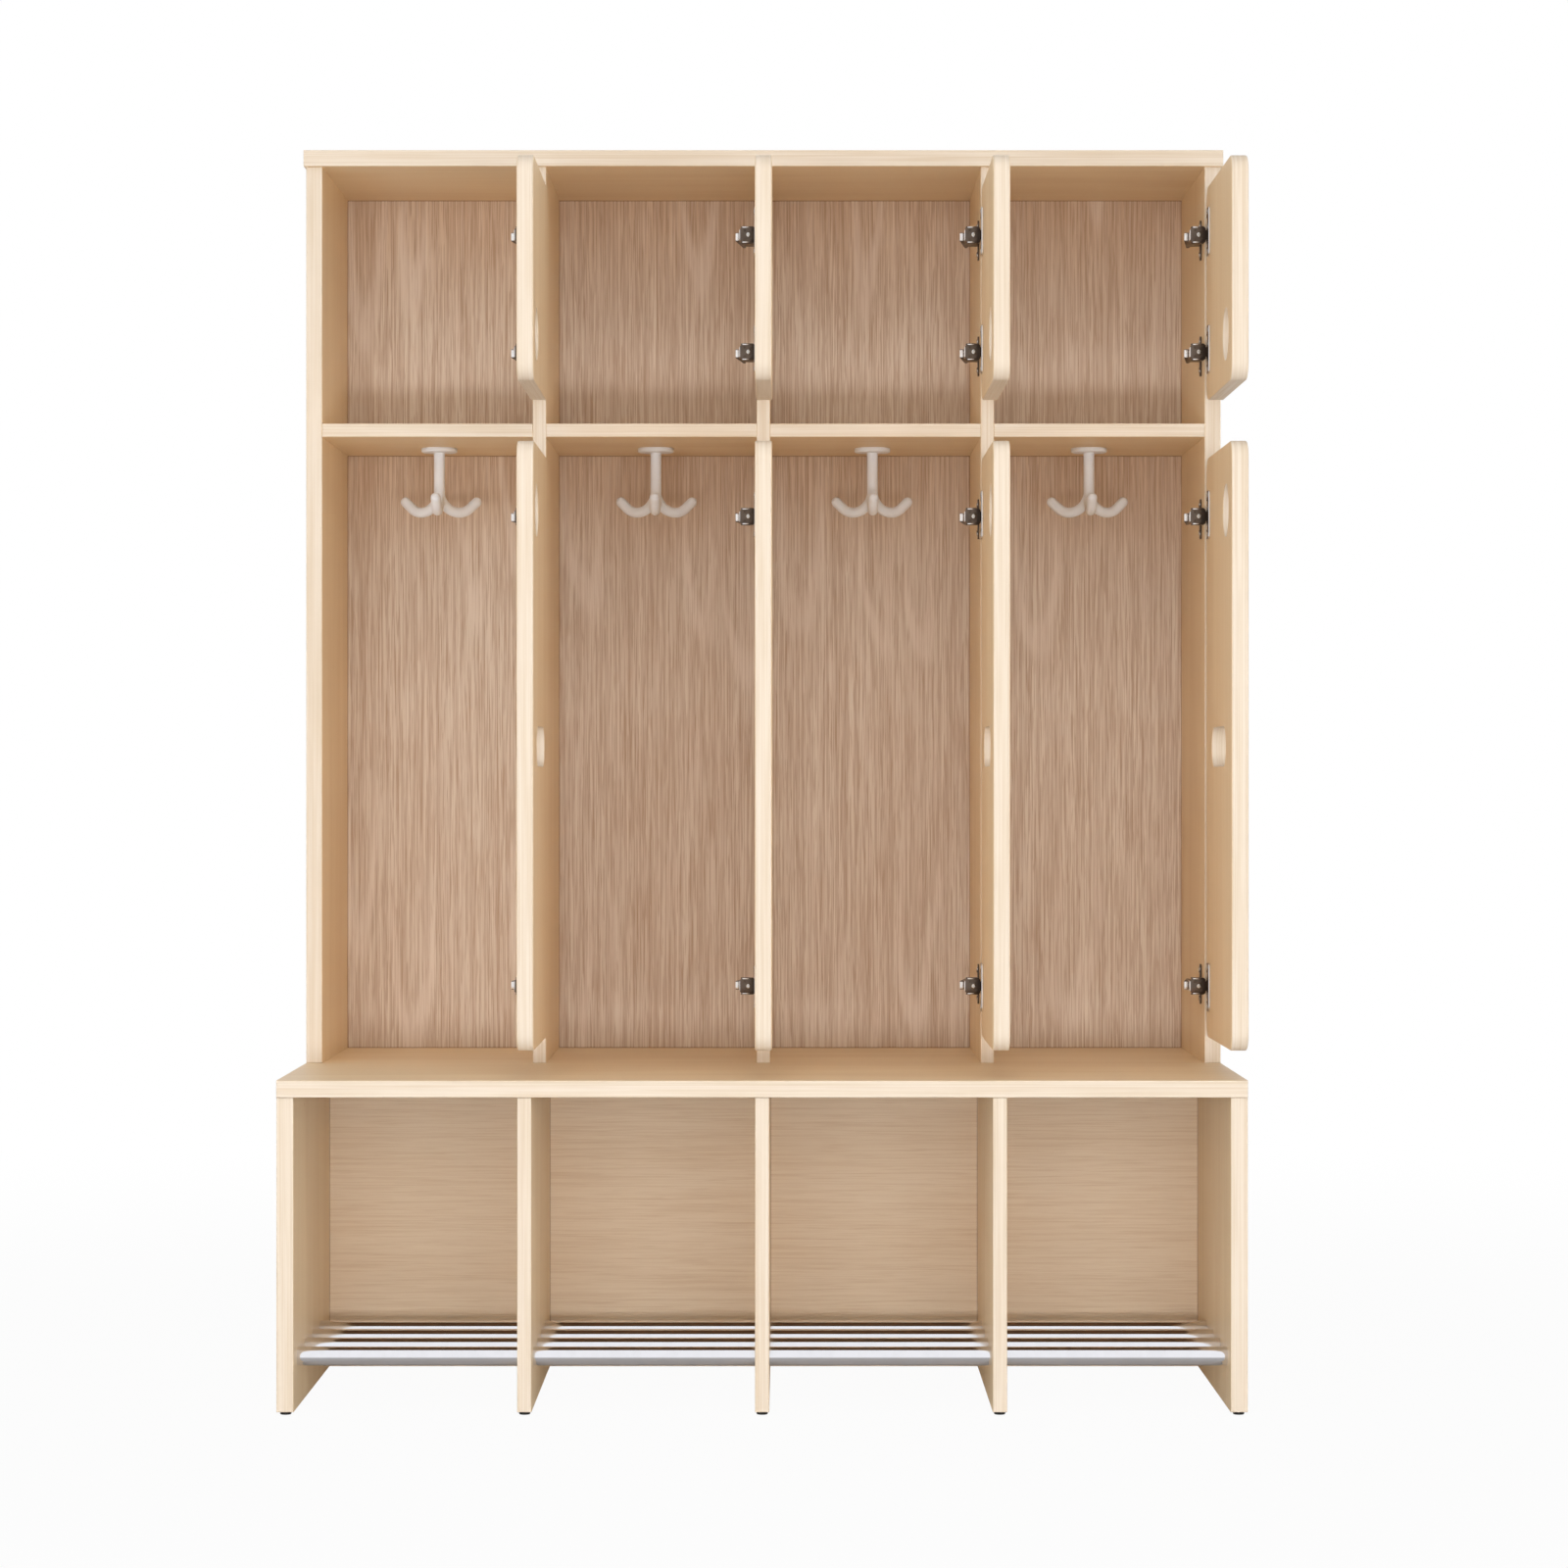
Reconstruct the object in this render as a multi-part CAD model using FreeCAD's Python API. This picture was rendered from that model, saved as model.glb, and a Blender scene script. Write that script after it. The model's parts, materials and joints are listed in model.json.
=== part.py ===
import FreeCAD, Part
import math
import os

from FreeCAD import Placement, Rotation, Vector

# Cloakroom unit for four children: bench with shoe bays below, two rows of doored compartments above.
# Millimetres. +X is the user's right, -Y the front, +Z up. The origin is on the floor, in the middle.
# The doors are drawn open by a quarter turn, which is their rest pose.

# Places and overall sizes
places = 4
cabinet_width = 1026.0
bench_depth = 520.0
leg_height = 332.5
upper_height = 1005.5
upper_depth = 262.0
lower_back_setback = 328.0
top_compartment_height = 288.0

# Boards
side_board = 18.0
top_board = 18.0
bench_board = 18.0
divider_board = 15.0
shelf_board = 15.0
upper_back_board = 9.0
lower_back_board = 15.0
board_edge_radius = 1.0
top_side_overhang = 2.5
top_front_overhang = 5.0
bench_nose = 2.0

# Doors
door_board = 18.0
door_gap = 4.0
door_side_reveal = 0.75
door_corner_radius = 20.0
door_edge_radius = 2.0
upper_door_top_gap = 25.0
upper_door_bottom_gap = 24.0
lower_door_top_gap = 25.0
lower_door_bottom_gap = 30.0
closed_gap = 2.0
open_gap = 5.0
open_door_shift = 16.0

# Finger holes and slots in the doors
finger_hole_diameter = 56.4
finger_hole_from_free_edge = 58.0
upper_finger_hole_height = 54.0
lower_finger_hole_drop = 71.0
slot_length = 136.0
slot_height = 43.0
hole_edge_radius = 1.0

# Concealed hinges
upper_hinge_from_top = 53.0
upper_hinge_from_bottom = 55.0
lower_hinge_from_top = 65.0
lower_hinge_from_bottom = 57.0
cup_diameter = 35.0
cup_depth = 13.5
cup_wall = 0.8
cup_from_door_edge = 3.0
cup_wing_length = 54.0
cup_wing_width = 22.0
cup_wing_thickness = 1.2
cup_wing_radius = 5.0
cup_screw_offset = 22.0
cup_screw_setback = 10.0
cup_ear_height = 3.5
cup_ear_reach = 2.4
pin_diameter = 2.6
pin_length = 16.0
knuckle_diameter = 4.4
knuckle_height = 7.0
neck_thickness = 3.0
neck_reach = 25.5
neck_mid_height = 11.0
neck_mid_start = 6.3
neck_wide_start = 11.0
neck_web_depth = 9.5
neck_height = 19.0
riser_height = 14.0
channel_height = 12.0
arm_sheet = 1.2
arm_crest = 32.4
arm_front_setback = 5.5
arm_rear_setback = 62.0
arm_side_depth = 12.0
plate_setback = 35.0
plate_wing_height = 46.0
plate_wing_width = 14.0
plate_wing_thickness = 1.8
plate_boss_height = 9.2
plate_boss_length = 36.0
plate_boss_thickness = 12.0
plate_screw_offset = 16.0
adjuster_diameter = 4.0
adjuster_head_diameter = 7.5
adjuster_head_height = 1.6
adjuster_spacing = 14.0
adjuster_bite = 4.0

# Coat hooks
hook_setback = 150.0
hook_flange_diameter = 41.5
hook_flange_thickness = 4.0
hook_flange_radius = 1.5
hook_stem_diameter = 12.4
hook_arm_diameter = 11.4
hook_drop = 79.4
hook_inner_bend = 25.0
hook_outer_bend = 22.0
hook_tip_angle = 42.0
hook_tip_length = 11.0
hook_arms = 3
hook_screw_offset = 14.5

# Shoe rods
rod_diameter = 20.0
rod_wall = 1.5
rod_height = 57.0
rod_socket = 8.0
rod_first_setback = 40.0
rod_pitch = 67.0
rod_count = 4

# Feet
foot_diameter = 12.0
foot_height = 3.0
foot_edge_radius = 0.8
foot_setback = 8.0
foot_nail_diameter = 2.5
foot_nail_length = 14.0

# Wood screws
screw_diameter = 3.5
screw_head_diameter = 7.0
screw_head_height = 2.0
screw_length = 11.0
recess_width = 0.9
recess_length = 3.8
recess_depth = 1.0

# Small locking barrels with blind pins, which draw the boards together
lock_diameter = 6.0
lock_depth = 12.0
upper_lock_drop = 31.0
lower_lock_drop = 15.0
upper_lock_setback = 69.0
lower_lock_setback = 94.0
lock_rear_setback = 60.0
lock_slot_width = 1.2
lock_slot_length = 4.4
lock_slot_depth = 1.0
lock_pin_diameter = 4.0
lock_pin_bite = 10.0
lock_bore_diameter = 5.0

# Clearances
fit_clearance = 0.05
rod_clearance = 0.1
cut_overrun = 1.0

# Levels above the floor
leg_bottom_z = foot_height
bench_bottom_z = leg_bottom_z + leg_height
bench_top_z = bench_bottom_z + bench_board
ceiling_z = bench_top_z + upper_height
shelf_top_z = ceiling_z - top_compartment_height
shelf_bottom_z = shelf_top_z - shelf_board

# Planes from front to back
bench_front_y = -bench_depth / 2
rear_y = bench_depth / 2
leg_front_y = bench_front_y + bench_nose
upper_front_y = rear_y - upper_depth
upper_back_y = rear_y - upper_back_board
lower_back_y = bench_front_y + lower_back_setback

# Planes from left to right
half_width = cabinet_width / 2
inner_width = cabinet_width - 2 * side_board
bay_width = (inner_width - (places - 1) * divider_board) / places
bay_pitch = bay_width + divider_board
door_pitch = (cabinet_width - side_board) / places
door_width = door_pitch - door_gap

# Hinge axis seen from the door's closed right edge and from the carcass front
gap_growth = open_gap - closed_gap
pivot_inset = (open_door_shift - gap_growth) / 2
pivot_advance = (open_door_shift + closed_gap + open_gap) / 2
pivot_y = upper_front_y - pivot_advance

# The open door seen from the hinge axis
door_face_x = -(open_door_shift + gap_growth) / 2
door_edge_y = pivot_inset
cup_centre_y = door_edge_y - cup_from_door_edge - cup_diameter / 2
cup_floor_x = door_face_x + cup_depth
cup_cavity_radius = cup_diameter / 2 - cup_wall

x_axis = Vector(1, 0, 0)
z_axis = Vector(0, 0, 1)
origin = Vector(0, 0, 0)

quarter_turn = 90.0
half_turn = 180.0
full_turn = 360.0


def bay_left(bay):
    """X of a bay's left wall."""
    return -inner_width / 2 + bay * bay_pitch


def hinge_wall(bay):
    """X of the wall that carries a bay's hinges."""
    return bay_left(bay) + bay_width


def pivot_x(bay):
    """X of a bay's hinge axis."""
    closed_edge = half_width - door_side_reveal - (places - 1 - bay) * door_pitch
    return closed_edge - pivot_inset


upper_door_z = shelf_top_z + upper_door_bottom_gap
upper_door_height = ceiling_z - upper_door_top_gap - upper_door_z
lower_door_z = bench_top_z + lower_door_bottom_gap
lower_door_height = shelf_bottom_z - lower_door_top_gap - lower_door_z

# Every row of doors: bottom level, height and the two hinge levels
door_rows = {
    "upper": (
        upper_door_z,
        upper_door_height,
        (upper_door_z + upper_hinge_from_bottom, upper_door_z + upper_door_height - upper_hinge_from_top),
    ),
    "lower": (
        lower_door_z,
        lower_door_height,
        (lower_door_z + lower_hinge_from_bottom, lower_door_z + lower_door_height - lower_hinge_from_top),
    ),
}
hinge_levels = [level for row in door_rows.values() for level in row[2]]


def block(x0, x1, y0, y1, z0, z1):
    """A box between two corners."""
    return Part.makeBox(x1 - x0, y1 - y0, z1 - z0, Vector(x0, y0, z0))


def rod(diameter, length, start, axis):
    """A round bar from a point along an axis."""
    return Part.makeCylinder(diameter / 2, length, start, axis)


def moved(shape, x, y, z):
    """A copy of a shape, shifted."""
    result = shape.copy()
    result.translate(Vector(x, y, z))
    return result


def turned(shape, axis, angle):
    """A copy of a shape, turned about an axis through the origin."""
    result = shape.copy()
    result.rotate(origin, axis, angle)
    return result


def edges_near(shape, axis, value, tolerance):
    """Edges that lie in one plane across an axis."""
    found = []
    for edge in shape.Edges:
        box = edge.BoundBox
        low = (box.XMin, box.YMin, box.ZMin)[axis]
        high = (box.XMax, box.YMax, box.ZMax)[axis]
        if abs(low - value) < tolerance and abs(high - value) < tolerance:
            found.append(edge)
    return found


def soften_front(shape, y):
    """Round the edges of a board's front."""
    return shape.makeFillet(board_edge_radius, edges_near(shape, 1, y, board_edge_radius / 2))


def screw(length=screw_length):
    """A countersunk screw with its head at the origin, pointing along +Z, and a cross recess."""
    head = Part.makeCone(screw_head_diameter / 2, screw_diameter / 2, screw_head_height, origin, z_axis)
    shank = rod(screw_diameter, length, origin, z_axis)
    body = head.fuse(shank)
    return body.cut(cross_recess())


def cross_recess():
    """The two bars of a cross recess, sunk along +Z from the origin."""
    along = recess_length / 2
    across = recess_width / 2
    bar = block(-along, along, -across, across, -cut_overrun, recess_depth)
    return [bar, turned(bar, z_axis, quarter_turn)]


def screw_hole(length=screw_length):
    """The hole that a screw needs, from the face that its head is flush with."""
    radius = screw_diameter / 2 + fit_clearance
    head_radius = screw_head_diameter / 2 + fit_clearance
    head = Part.makeCone(head_radius, radius, screw_head_height + fit_clearance, origin, z_axis)
    shank = Part.makeCylinder(radius, length + fit_clearance, origin, z_axis)
    mouth = Part.makeCylinder(head_radius, cut_overrun, Vector(0, 0, -cut_overrun), z_axis)
    return head.fuse([shank, mouth])


def pointing(shape, direction):
    """Turn a +Z screw, or its hole, to another direction."""
    result = shape.copy()
    result.Placement = Placement(origin, Rotation(z_axis, direction))
    return result


# Locks: every upright is drawn to the board above it at two places
upper_lock_places = (upper_front_y + upper_lock_setback, upper_back_y - lock_rear_setback)
lower_lock_places = (bench_front_y + lower_lock_setback, rear_y - lock_rear_setback)


def upright_faces():
    """Each upright's left face, its thickness and the side that its locks open to."""
    rows = [(-half_width, side_board, 1)]
    for index in range(places - 1):
        rows.append((hinge_wall(index), divider_board, 1))
    rows.append((half_width - side_board, side_board, -1))
    return rows


def lock_positions(top_z, drop, places_y):
    """X of the open face, its direction, Y, Z and drop of every lock under one board."""
    found = []
    for left, thickness, side in upright_faces():
        face = left + thickness if side > 0 else left
        for y in places_y:
            found.append((face, side, y, top_z - drop, drop))
    return found


def lock_disc(extra, start):
    """A lock's outline, pointing along +X into the board from its open face."""
    radius = lock_diameter / 2 + extra
    return Part.makeCylinder(radius, lock_depth + extra - start, Vector(start, 0, 0), x_axis)


def lock():
    """One lock with its slot."""
    along = lock_slot_length / 2
    across = lock_slot_width / 2
    slot = block(-cut_overrun, lock_slot_depth, -along, along, -across, across)
    return lock_disc(0, 0).cut(slot)


def place_lock(shape, position):
    """Set a lock, or its pocket, into an upright."""
    face, side, y, z, drop = position
    turn = half_turn if side > 0 else 0
    return moved(turned(shape, z_axis, turn), face, y, z)


def lock_pin_bar(position, diameter, extra):
    """The bar of a lock's pin, from the lock's rim up into the board above."""
    face, side, y, z, drop = position
    start = Vector(face - side * lock_depth / 2, y, z + lock_diameter / 2)
    return rod(diameter, drop - lock_diameter / 2 + lock_pin_bite + extra, start, z_axis)


def lock_cuts(positions):
    """Pockets and pin bores for a row of locks."""
    cuts = []
    for position in positions:
        cuts.append(place_lock(lock_disc(fit_clearance, -cut_overrun), position))
        cuts.append(lock_pin_bar(position, lock_bore_diameter, fit_clearance))
    return cuts


upper_locks = lock_positions(ceiling_z, upper_lock_drop, upper_lock_places)
lower_locks = lock_positions(bench_bottom_z, lower_lock_drop, lower_lock_places)


def lock_set():
    """All locks."""
    one = lock()
    return [place_lock(one, position) for position in upper_locks + lower_locks]


def lock_pin_set():
    """All pins of the locks."""
    return [lock_pin_bar(position, lock_pin_diameter, 0) for position in upper_locks + lower_locks]


# Hinge pieces, drawn round the hinge axis at the hinge's mid height, with the door open
def cup_outline(extra):
    """The round boring that a cup fills."""
    start = Vector(door_face_x - extra, cup_centre_y, 0)
    return Part.makeCylinder(cup_diameter / 2, cup_depth + extra, start, x_axis)


def hinge_cup():
    """Cup, wings and the two ears that hold the pin."""
    wing_front = cup_centre_y - cup_wing_width
    wing = block(
        door_face_x - cup_wing_thickness,
        door_face_x,
        wing_front,
        cup_centre_y,
        -cup_wing_length / 2,
        cup_wing_length / 2,
    )
    corners = [edge for edge in wing.Edges if edge.BoundBox.XLength > cup_wing_thickness / 2]
    wing = wing.makeFillet(cup_wing_radius, corners)
    cavity_start = Vector(door_face_x - cup_wing_thickness - cut_overrun, cup_centre_y, 0)
    cavity_length = cup_wing_thickness + cut_overrun + cup_depth - cup_wall
    cavity = Part.makeCylinder(cup_cavity_radius, cavity_length, cavity_start, x_axis)
    shell = wing.fuse(cup_outline(0)).cut(cavity)
    ear_top = pin_length / 2
    ear = block(-cup_ear_reach, cup_floor_x, -cup_ear_reach, door_edge_y, ear_top - cup_ear_height, ear_top)
    ears = [ear, moved(ear, 0, 0, cup_ear_height - pin_length)]
    ears = [piece.common(cup_outline(0)) for piece in ears]
    shell = shell.fuse(ears)
    shell = shell.cut(pin_bar(pin_diameter + 2 * fit_clearance, pin_length))
    for side in (-1, 1):
        hole = pointing(screw_hole(), x_axis)
        x = door_face_x - cup_wing_thickness
        shell = shell.cut(moved(hole, x, cup_centre_y - cup_screw_setback, side * cup_screw_offset))
    return shell.removeSplitter()


def pin_bar(diameter, length):
    """A bar on the hinge axis."""
    return rod(diameter, length, Vector(0, 0, -length / 2), z_axis)


def cup_screws():
    """Screws that hold a cup's wings to the door."""
    one = pointing(screw(), x_axis)
    x = door_face_x - cup_wing_thickness
    return [moved(one, x, cup_centre_y - cup_screw_setback, side * cup_screw_offset) for side in (-1, 1)]


arm_front_y = pivot_advance + arm_front_setback
arm_rear_y = pivot_advance + arm_rear_setback
adjuster_y = pivot_advance + plate_setback


def neck_outline():
    """Front view of the hinge's neck, as a face on the XZ plane."""
    low = knuckle_height / 2
    middle = neck_mid_height / 2
    high = neck_height / 2
    half = [
        (0, low),
        (-neck_mid_start + (middle - low), low),
        (-neck_mid_start, middle),
        (-neck_wide_start, middle),
        (-neck_wide_start, high),
        (-neck_reach, high),
    ]
    outline = half + [(x, -z) for x, z in reversed(half)]
    points = [Vector(x, -neck_thickness / 2, z) for x, z in outline]
    points.append(points[0])
    return Part.Face(Part.makePolygon(points))


def hinge_arm():
    """The fixed arm: a cranked neck that reaches round the wall's edge, and a channel behind it."""
    tall = neck_height / 2
    rise = riser_height / 2
    channel = channel_height / 2
    riser_x = -neck_reach
    riser_end_x = riser_x + neck_thickness
    neck_y = -neck_thickness / 2
    lip_y = arm_front_y + neck_thickness
    neck = neck_outline().extrude(Vector(0, neck_thickness, 0))
    knuckle = pin_bar(knuckle_diameter, knuckle_height)
    riser = block(riser_x, riser_end_x, neck_y, lip_y, -rise, rise)
    lip = block(-arm_crest, riser_end_x, arm_front_y, lip_y, -channel, channel)
    web = block(riser_x, -neck_wide_start, neck_y, neck_y + neck_web_depth, tall - arm_sheet, tall)
    roof = block(-arm_crest, -arm_crest + arm_sheet, arm_front_y, arm_rear_y, -channel, channel)
    side_end_x = -arm_crest + arm_side_depth
    side = block(-arm_crest, side_end_x, arm_front_y, arm_rear_y, channel - arm_sheet, channel)
    webs = [web, moved(web, 0, 0, arm_sheet - neck_height)]
    sides = [side, moved(side, 0, 0, arm_sheet - channel_height)]
    arm = neck.fuse([knuckle, riser, lip, roof] + webs + sides).removeSplitter()
    arm = arm.cut(pin_bar(pin_diameter + 2 * fit_clearance, knuckle_height + 2 * cut_overrun))
    length = arm_sheet + 2 * cut_overrun
    for y in adjuster_places():
        start = Vector(-arm_crest - cut_overrun, y, 0)
        arm = arm.cut(rod(adjuster_diameter + 2 * fit_clearance, length, start, x_axis))
    return arm


def adjuster_places():
    """The two adjusting screws, from front to back."""
    return (adjuster_y - adjuster_spacing / 2, adjuster_y + adjuster_spacing / 2)


def mounting_plate(wall_x):
    """Plate on the wall, with wings up and down, under the arm."""
    base = block(
        wall_x - plate_wing_thickness,
        wall_x,
        adjuster_y - plate_wing_width / 2,
        adjuster_y + plate_wing_width / 2,
        -plate_wing_height / 2,
        plate_wing_height / 2,
    )
    boss = block(
        wall_x - plate_boss_thickness,
        wall_x,
        adjuster_y - plate_boss_length / 2,
        adjuster_y + plate_boss_length / 2,
        -plate_boss_height / 2,
        plate_boss_height / 2,
    )
    plate = base.fuse(boss).removeSplitter()
    for y in adjuster_places():
        start = Vector(wall_x - plate_boss_thickness - cut_overrun, y, 0)
        bore = rod(adjuster_diameter + 2 * fit_clearance, adjuster_bite + cut_overrun, start, x_axis)
        plate = plate.cut(bore)
    hole = pointing(screw_hole(), x_axis)
    for side in (-1, 1):
        plate = plate.cut(moved(hole, wall_x - plate_wing_thickness, adjuster_y, side * plate_screw_offset))
    return plate


def plate_screws(wall_x):
    """Screws that hold a mounting plate to its wall."""
    one = pointing(screw(), x_axis)
    return [
        moved(one, wall_x - plate_wing_thickness, adjuster_y, side * plate_screw_offset) for side in (-1, 1)
    ]


def adjusters(wall_x):
    """Screws that draw the arm to its plate and set the door sideways."""
    reach = arm_crest + wall_x - plate_boss_thickness + adjuster_bite
    head = rod(adjuster_head_diameter, adjuster_head_height, origin, z_axis)
    shank = rod(adjuster_diameter, adjuster_head_height + reach, origin, z_axis)
    one = pointing(head.fuse(shank).cut(cross_recess()), x_axis)
    return [moved(one, -arm_crest - adjuster_head_height, y, 0) for y in adjuster_places()]


def at_hinges(make):
    """Copies of a hinge piece at every hinge. The maker gets the wall's X from the hinge axis."""
    placed = []
    for bay in range(places):
        wall_x = hinge_wall(bay) - pivot_x(bay)
        pieces = make(wall_x)
        for level in hinge_levels:
            placed += [moved(piece, pivot_x(bay), pivot_y, level) for piece in pieces]
    return placed


def wall_holes(bay):
    """Screw holes in the wall that carries a bay's hinges."""
    hole = pointing(screw_hole(), x_axis)
    x = hinge_wall(bay) - plate_wing_thickness
    y = pivot_y + adjuster_y
    return [
        moved(hole, x, y, level + side * plate_screw_offset) for level in hinge_levels for side in (-1, 1)
    ]


# Boards
def upright(left, thickness, bottom, height, front, back, cuts):
    """A standing board, rounded at the front."""
    board = block(left, left + thickness, front, back, bottom, bottom + height)
    return soften_front(board, front).cut(cuts)


def upper_side(side):
    """Side wall of the upper cabinet."""
    left = -half_width if side < 0 else half_width - side_board
    cuts = lock_cuts(upper_locks)
    if side > 0:
        cuts += wall_holes(places - 1)
    return upright(left, side_board, bench_top_z, upper_height, upper_front_y, rear_y, cuts)


def upper_divider(index):
    """Partition between two upper bays."""
    left = hinge_wall(index)
    cuts = lock_cuts(upper_locks) + wall_holes(index)
    return upright(left, divider_board, bench_top_z, upper_height, upper_front_y, upper_back_y, cuts)


def shelf(bay):
    """Shelf that closes a tall compartment and carries its hook."""
    left = bay_left(bay)
    board = block(left, left + bay_width, upper_front_y, upper_back_y, shelf_bottom_z, shelf_top_z)
    board = soften_front(board, upper_front_y)
    hole = screw_hole(hook_screw_length)
    x, y = hook_centre(bay)
    for side in (-1, 1):
        start_z = shelf_bottom_z - hook_flange_thickness
        board = board.cut(moved(hole, x + side * hook_screw_offset, y, start_z))
    return board


def top():
    """Top board, a little proud at the sides and the front."""
    reach = half_width + top_side_overhang
    front = upper_front_y - top_front_overhang
    board = block(-reach, reach, front, rear_y, ceiling_z, ceiling_z + top_board)
    return soften_front(board, front).cut(lock_cuts(upper_locks))


def upper_back():
    """Back panel between the side walls."""
    return block(-inner_width / 2, inner_width / 2, upper_back_y, rear_y, bench_top_z, ceiling_z)


def bench():
    """Bench seat over the whole depth."""
    board = block(-half_width, half_width, bench_front_y, rear_y, bench_bottom_z, bench_top_z)
    return soften_front(board, bench_front_y).cut(lock_cuts(lower_locks))


def rod_places():
    """Y of each shoe rod."""
    return [bench_front_y + rod_first_setback + index * rod_pitch for index in range(rod_count)]


def foot_places():
    """Y of the feet under one upright."""
    return (leg_front_y + foot_setback, rear_y - foot_setback)


def foot_holes(x):
    """Nail holes under one upright."""
    diameter = foot_nail_diameter + 2 * fit_clearance
    length = foot_nail_length + fit_clearance
    return [rod(diameter, length, Vector(x, y, leg_bottom_z), z_axis) for y in foot_places()]


def leg(side):
    """End upright of the bench, with blind sockets for the rods."""
    left = -half_width if side < 0 else half_width - side_board
    inner = left + side_board if side < 0 else left
    cuts = lock_cuts(lower_locks) + foot_holes(left + side_board / 2)
    for y in rod_places():
        start = Vector(inner - side * cut_overrun, y, rod_height)
        length = rod_socket + rod_clearance + cut_overrun
        cuts.append(rod(rod_diameter + 2 * rod_clearance, length, start, Vector(side, 0, 0)))
    return upright(left, side_board, leg_bottom_z, leg_height, leg_front_y, rear_y, cuts)


def lower_divider(index):
    """Partition between two shoe bays, bored for the rods."""
    left = hinge_wall(index)
    cuts = lock_cuts(lower_locks) + foot_holes(left + divider_board / 2)
    for y in rod_places():
        start = Vector(left - cut_overrun, y, rod_height)
        length = divider_board + 2 * cut_overrun
        cuts.append(rod(rod_diameter + 2 * rod_clearance, length, start, x_axis))
    return upright(left, divider_board, leg_bottom_z, leg_height, leg_front_y, rear_y, cuts)


def lower_back(bay):
    """Back of one shoe bay."""
    left = bay_left(bay)
    rear = lower_back_y + lower_back_board
    return block(left, left + bay_width, lower_back_y, rear, leg_bottom_z, bench_bottom_z)


def shoe_rod(y):
    """A tube across all bays, in a socket at each end."""
    length = inner_width + 2 * rod_socket
    start = Vector(-length / 2, y, rod_height)
    outer = rod(rod_diameter, length, start, x_axis)
    return outer.cut(rod(rod_diameter - 2 * rod_wall, length, start, x_axis))


def foot():
    """A round glide with its nail."""
    pad = rod(foot_diameter, foot_height, origin, z_axis)
    pad = pad.makeFillet(foot_edge_radius, edges_near(pad, 2, 0, foot_edge_radius / 2))
    return pad.fuse(rod(foot_nail_diameter, foot_height + foot_nail_length, origin, z_axis))


def feet():
    """Two feet under every upright."""
    one = foot()
    pieces = []
    for left, thickness, side in upright_faces():
        pieces += [moved(one, left + thickness / 2, y, 0) for y in foot_places()]
    return pieces


# Doors
def door_holes(row, height):
    """Solids that cut one door's holes: Y from the hinge axis, Z from the door's bottom."""
    free_y = door_edge_y - door_width
    hole_y = free_y + finger_hole_from_free_edge
    hole_z = upper_finger_hole_height if row == "upper" else height - lower_finger_hole_drop
    start = door_face_x - cut_overrun
    length = door_board + 2 * cut_overrun
    holes = [rod(finger_hole_diameter, length, Vector(start, hole_y, hole_z), x_axis)]
    if row == "lower":
        middle_y = door_edge_y - door_width / 2
        middle_z = height / 2
        straight = slot_length - slot_height
        ends = [
            rod(slot_height, length, Vector(start, middle_y + side * straight / 2, middle_z), x_axis)
            for side in (-1, 1)
        ]
        bar = block(
            start,
            start + length,
            middle_y - straight / 2,
            middle_y + straight / 2,
            middle_z - slot_height / 2,
            middle_z + slot_height / 2,
        )
        holes.append(bar.fuse(ends).removeSplitter())
    return holes


def door(row, bay):
    """An open door, with rounded corners and edges, hand holes and hinge borings."""
    bottom, height, levels = door_rows[row]
    panel = block(door_face_x, door_face_x + door_board, door_edge_y - door_width, door_edge_y, 0, height)
    corners = [edge for edge in panel.Edges if edge.BoundBox.XLength > door_board / 2]
    panel = panel.makeFillet(door_corner_radius, corners)
    faces = (door_face_x, door_face_x + door_board)
    rims = [edge for x in faces for edge in edges_near(panel, 0, x, door_edge_radius / 2)]
    panel = panel.makeFillet(door_edge_radius, rims)
    holes = door_holes(row, height)
    panel = panel.cut(holes)
    rims = []
    for x in faces:
        for edge in edges_near(panel, 0, x, door_edge_radius / 2):
            centre = edge.BoundBox.Center
            for hole in holes:
                box = hole.BoundBox
                if box.YMin <= centre.y <= box.YMax and box.ZMin <= centre.z <= box.ZMax:
                    rims.append(edge)
    panel = panel.makeFillet(hole_edge_radius, rims)
    screw_cut = pointing(screw_hole(), x_axis)
    for level in levels:
        z = level - bottom
        boring = Part.makeCylinder(
            cup_diameter / 2 + fit_clearance,
            cup_depth + fit_clearance + cut_overrun,
            Vector(door_face_x - cut_overrun, cup_centre_y, z),
            x_axis,
        )
        cuts = [boring]
        for side in (-1, 1):
            x = door_face_x - cup_wing_thickness
            y = cup_centre_y - cup_screw_setback
            cuts.append(moved(screw_cut, x, y, z + side * cup_screw_offset))
        panel = panel.cut(cuts)
    return moved(panel, pivot_x(bay), pivot_y, bottom)


def on_door(row, bay, pieces):
    """Copies of hinge pieces at one door's hinges."""
    levels = door_rows[row][2]
    return [moved(piece, pivot_x(bay), pivot_y, level) for level in levels for piece in pieces]


# Coat hooks
hook_screw_length = hook_flange_thickness + shelf_board - 2 * screw_head_height


def hook_centre(bay):
    """X and Y of a bay's hook."""
    return bay_left(bay) + bay_width / 2, upper_front_y + hook_setback


def on_circle(centre, radius, angle):
    """Point on an upright circle, at an angle from its lowest point towards +X."""
    turn = math.radians(angle)
    return centre + Vector(radius * math.sin(turn), 0, -radius * math.cos(turn))


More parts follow.
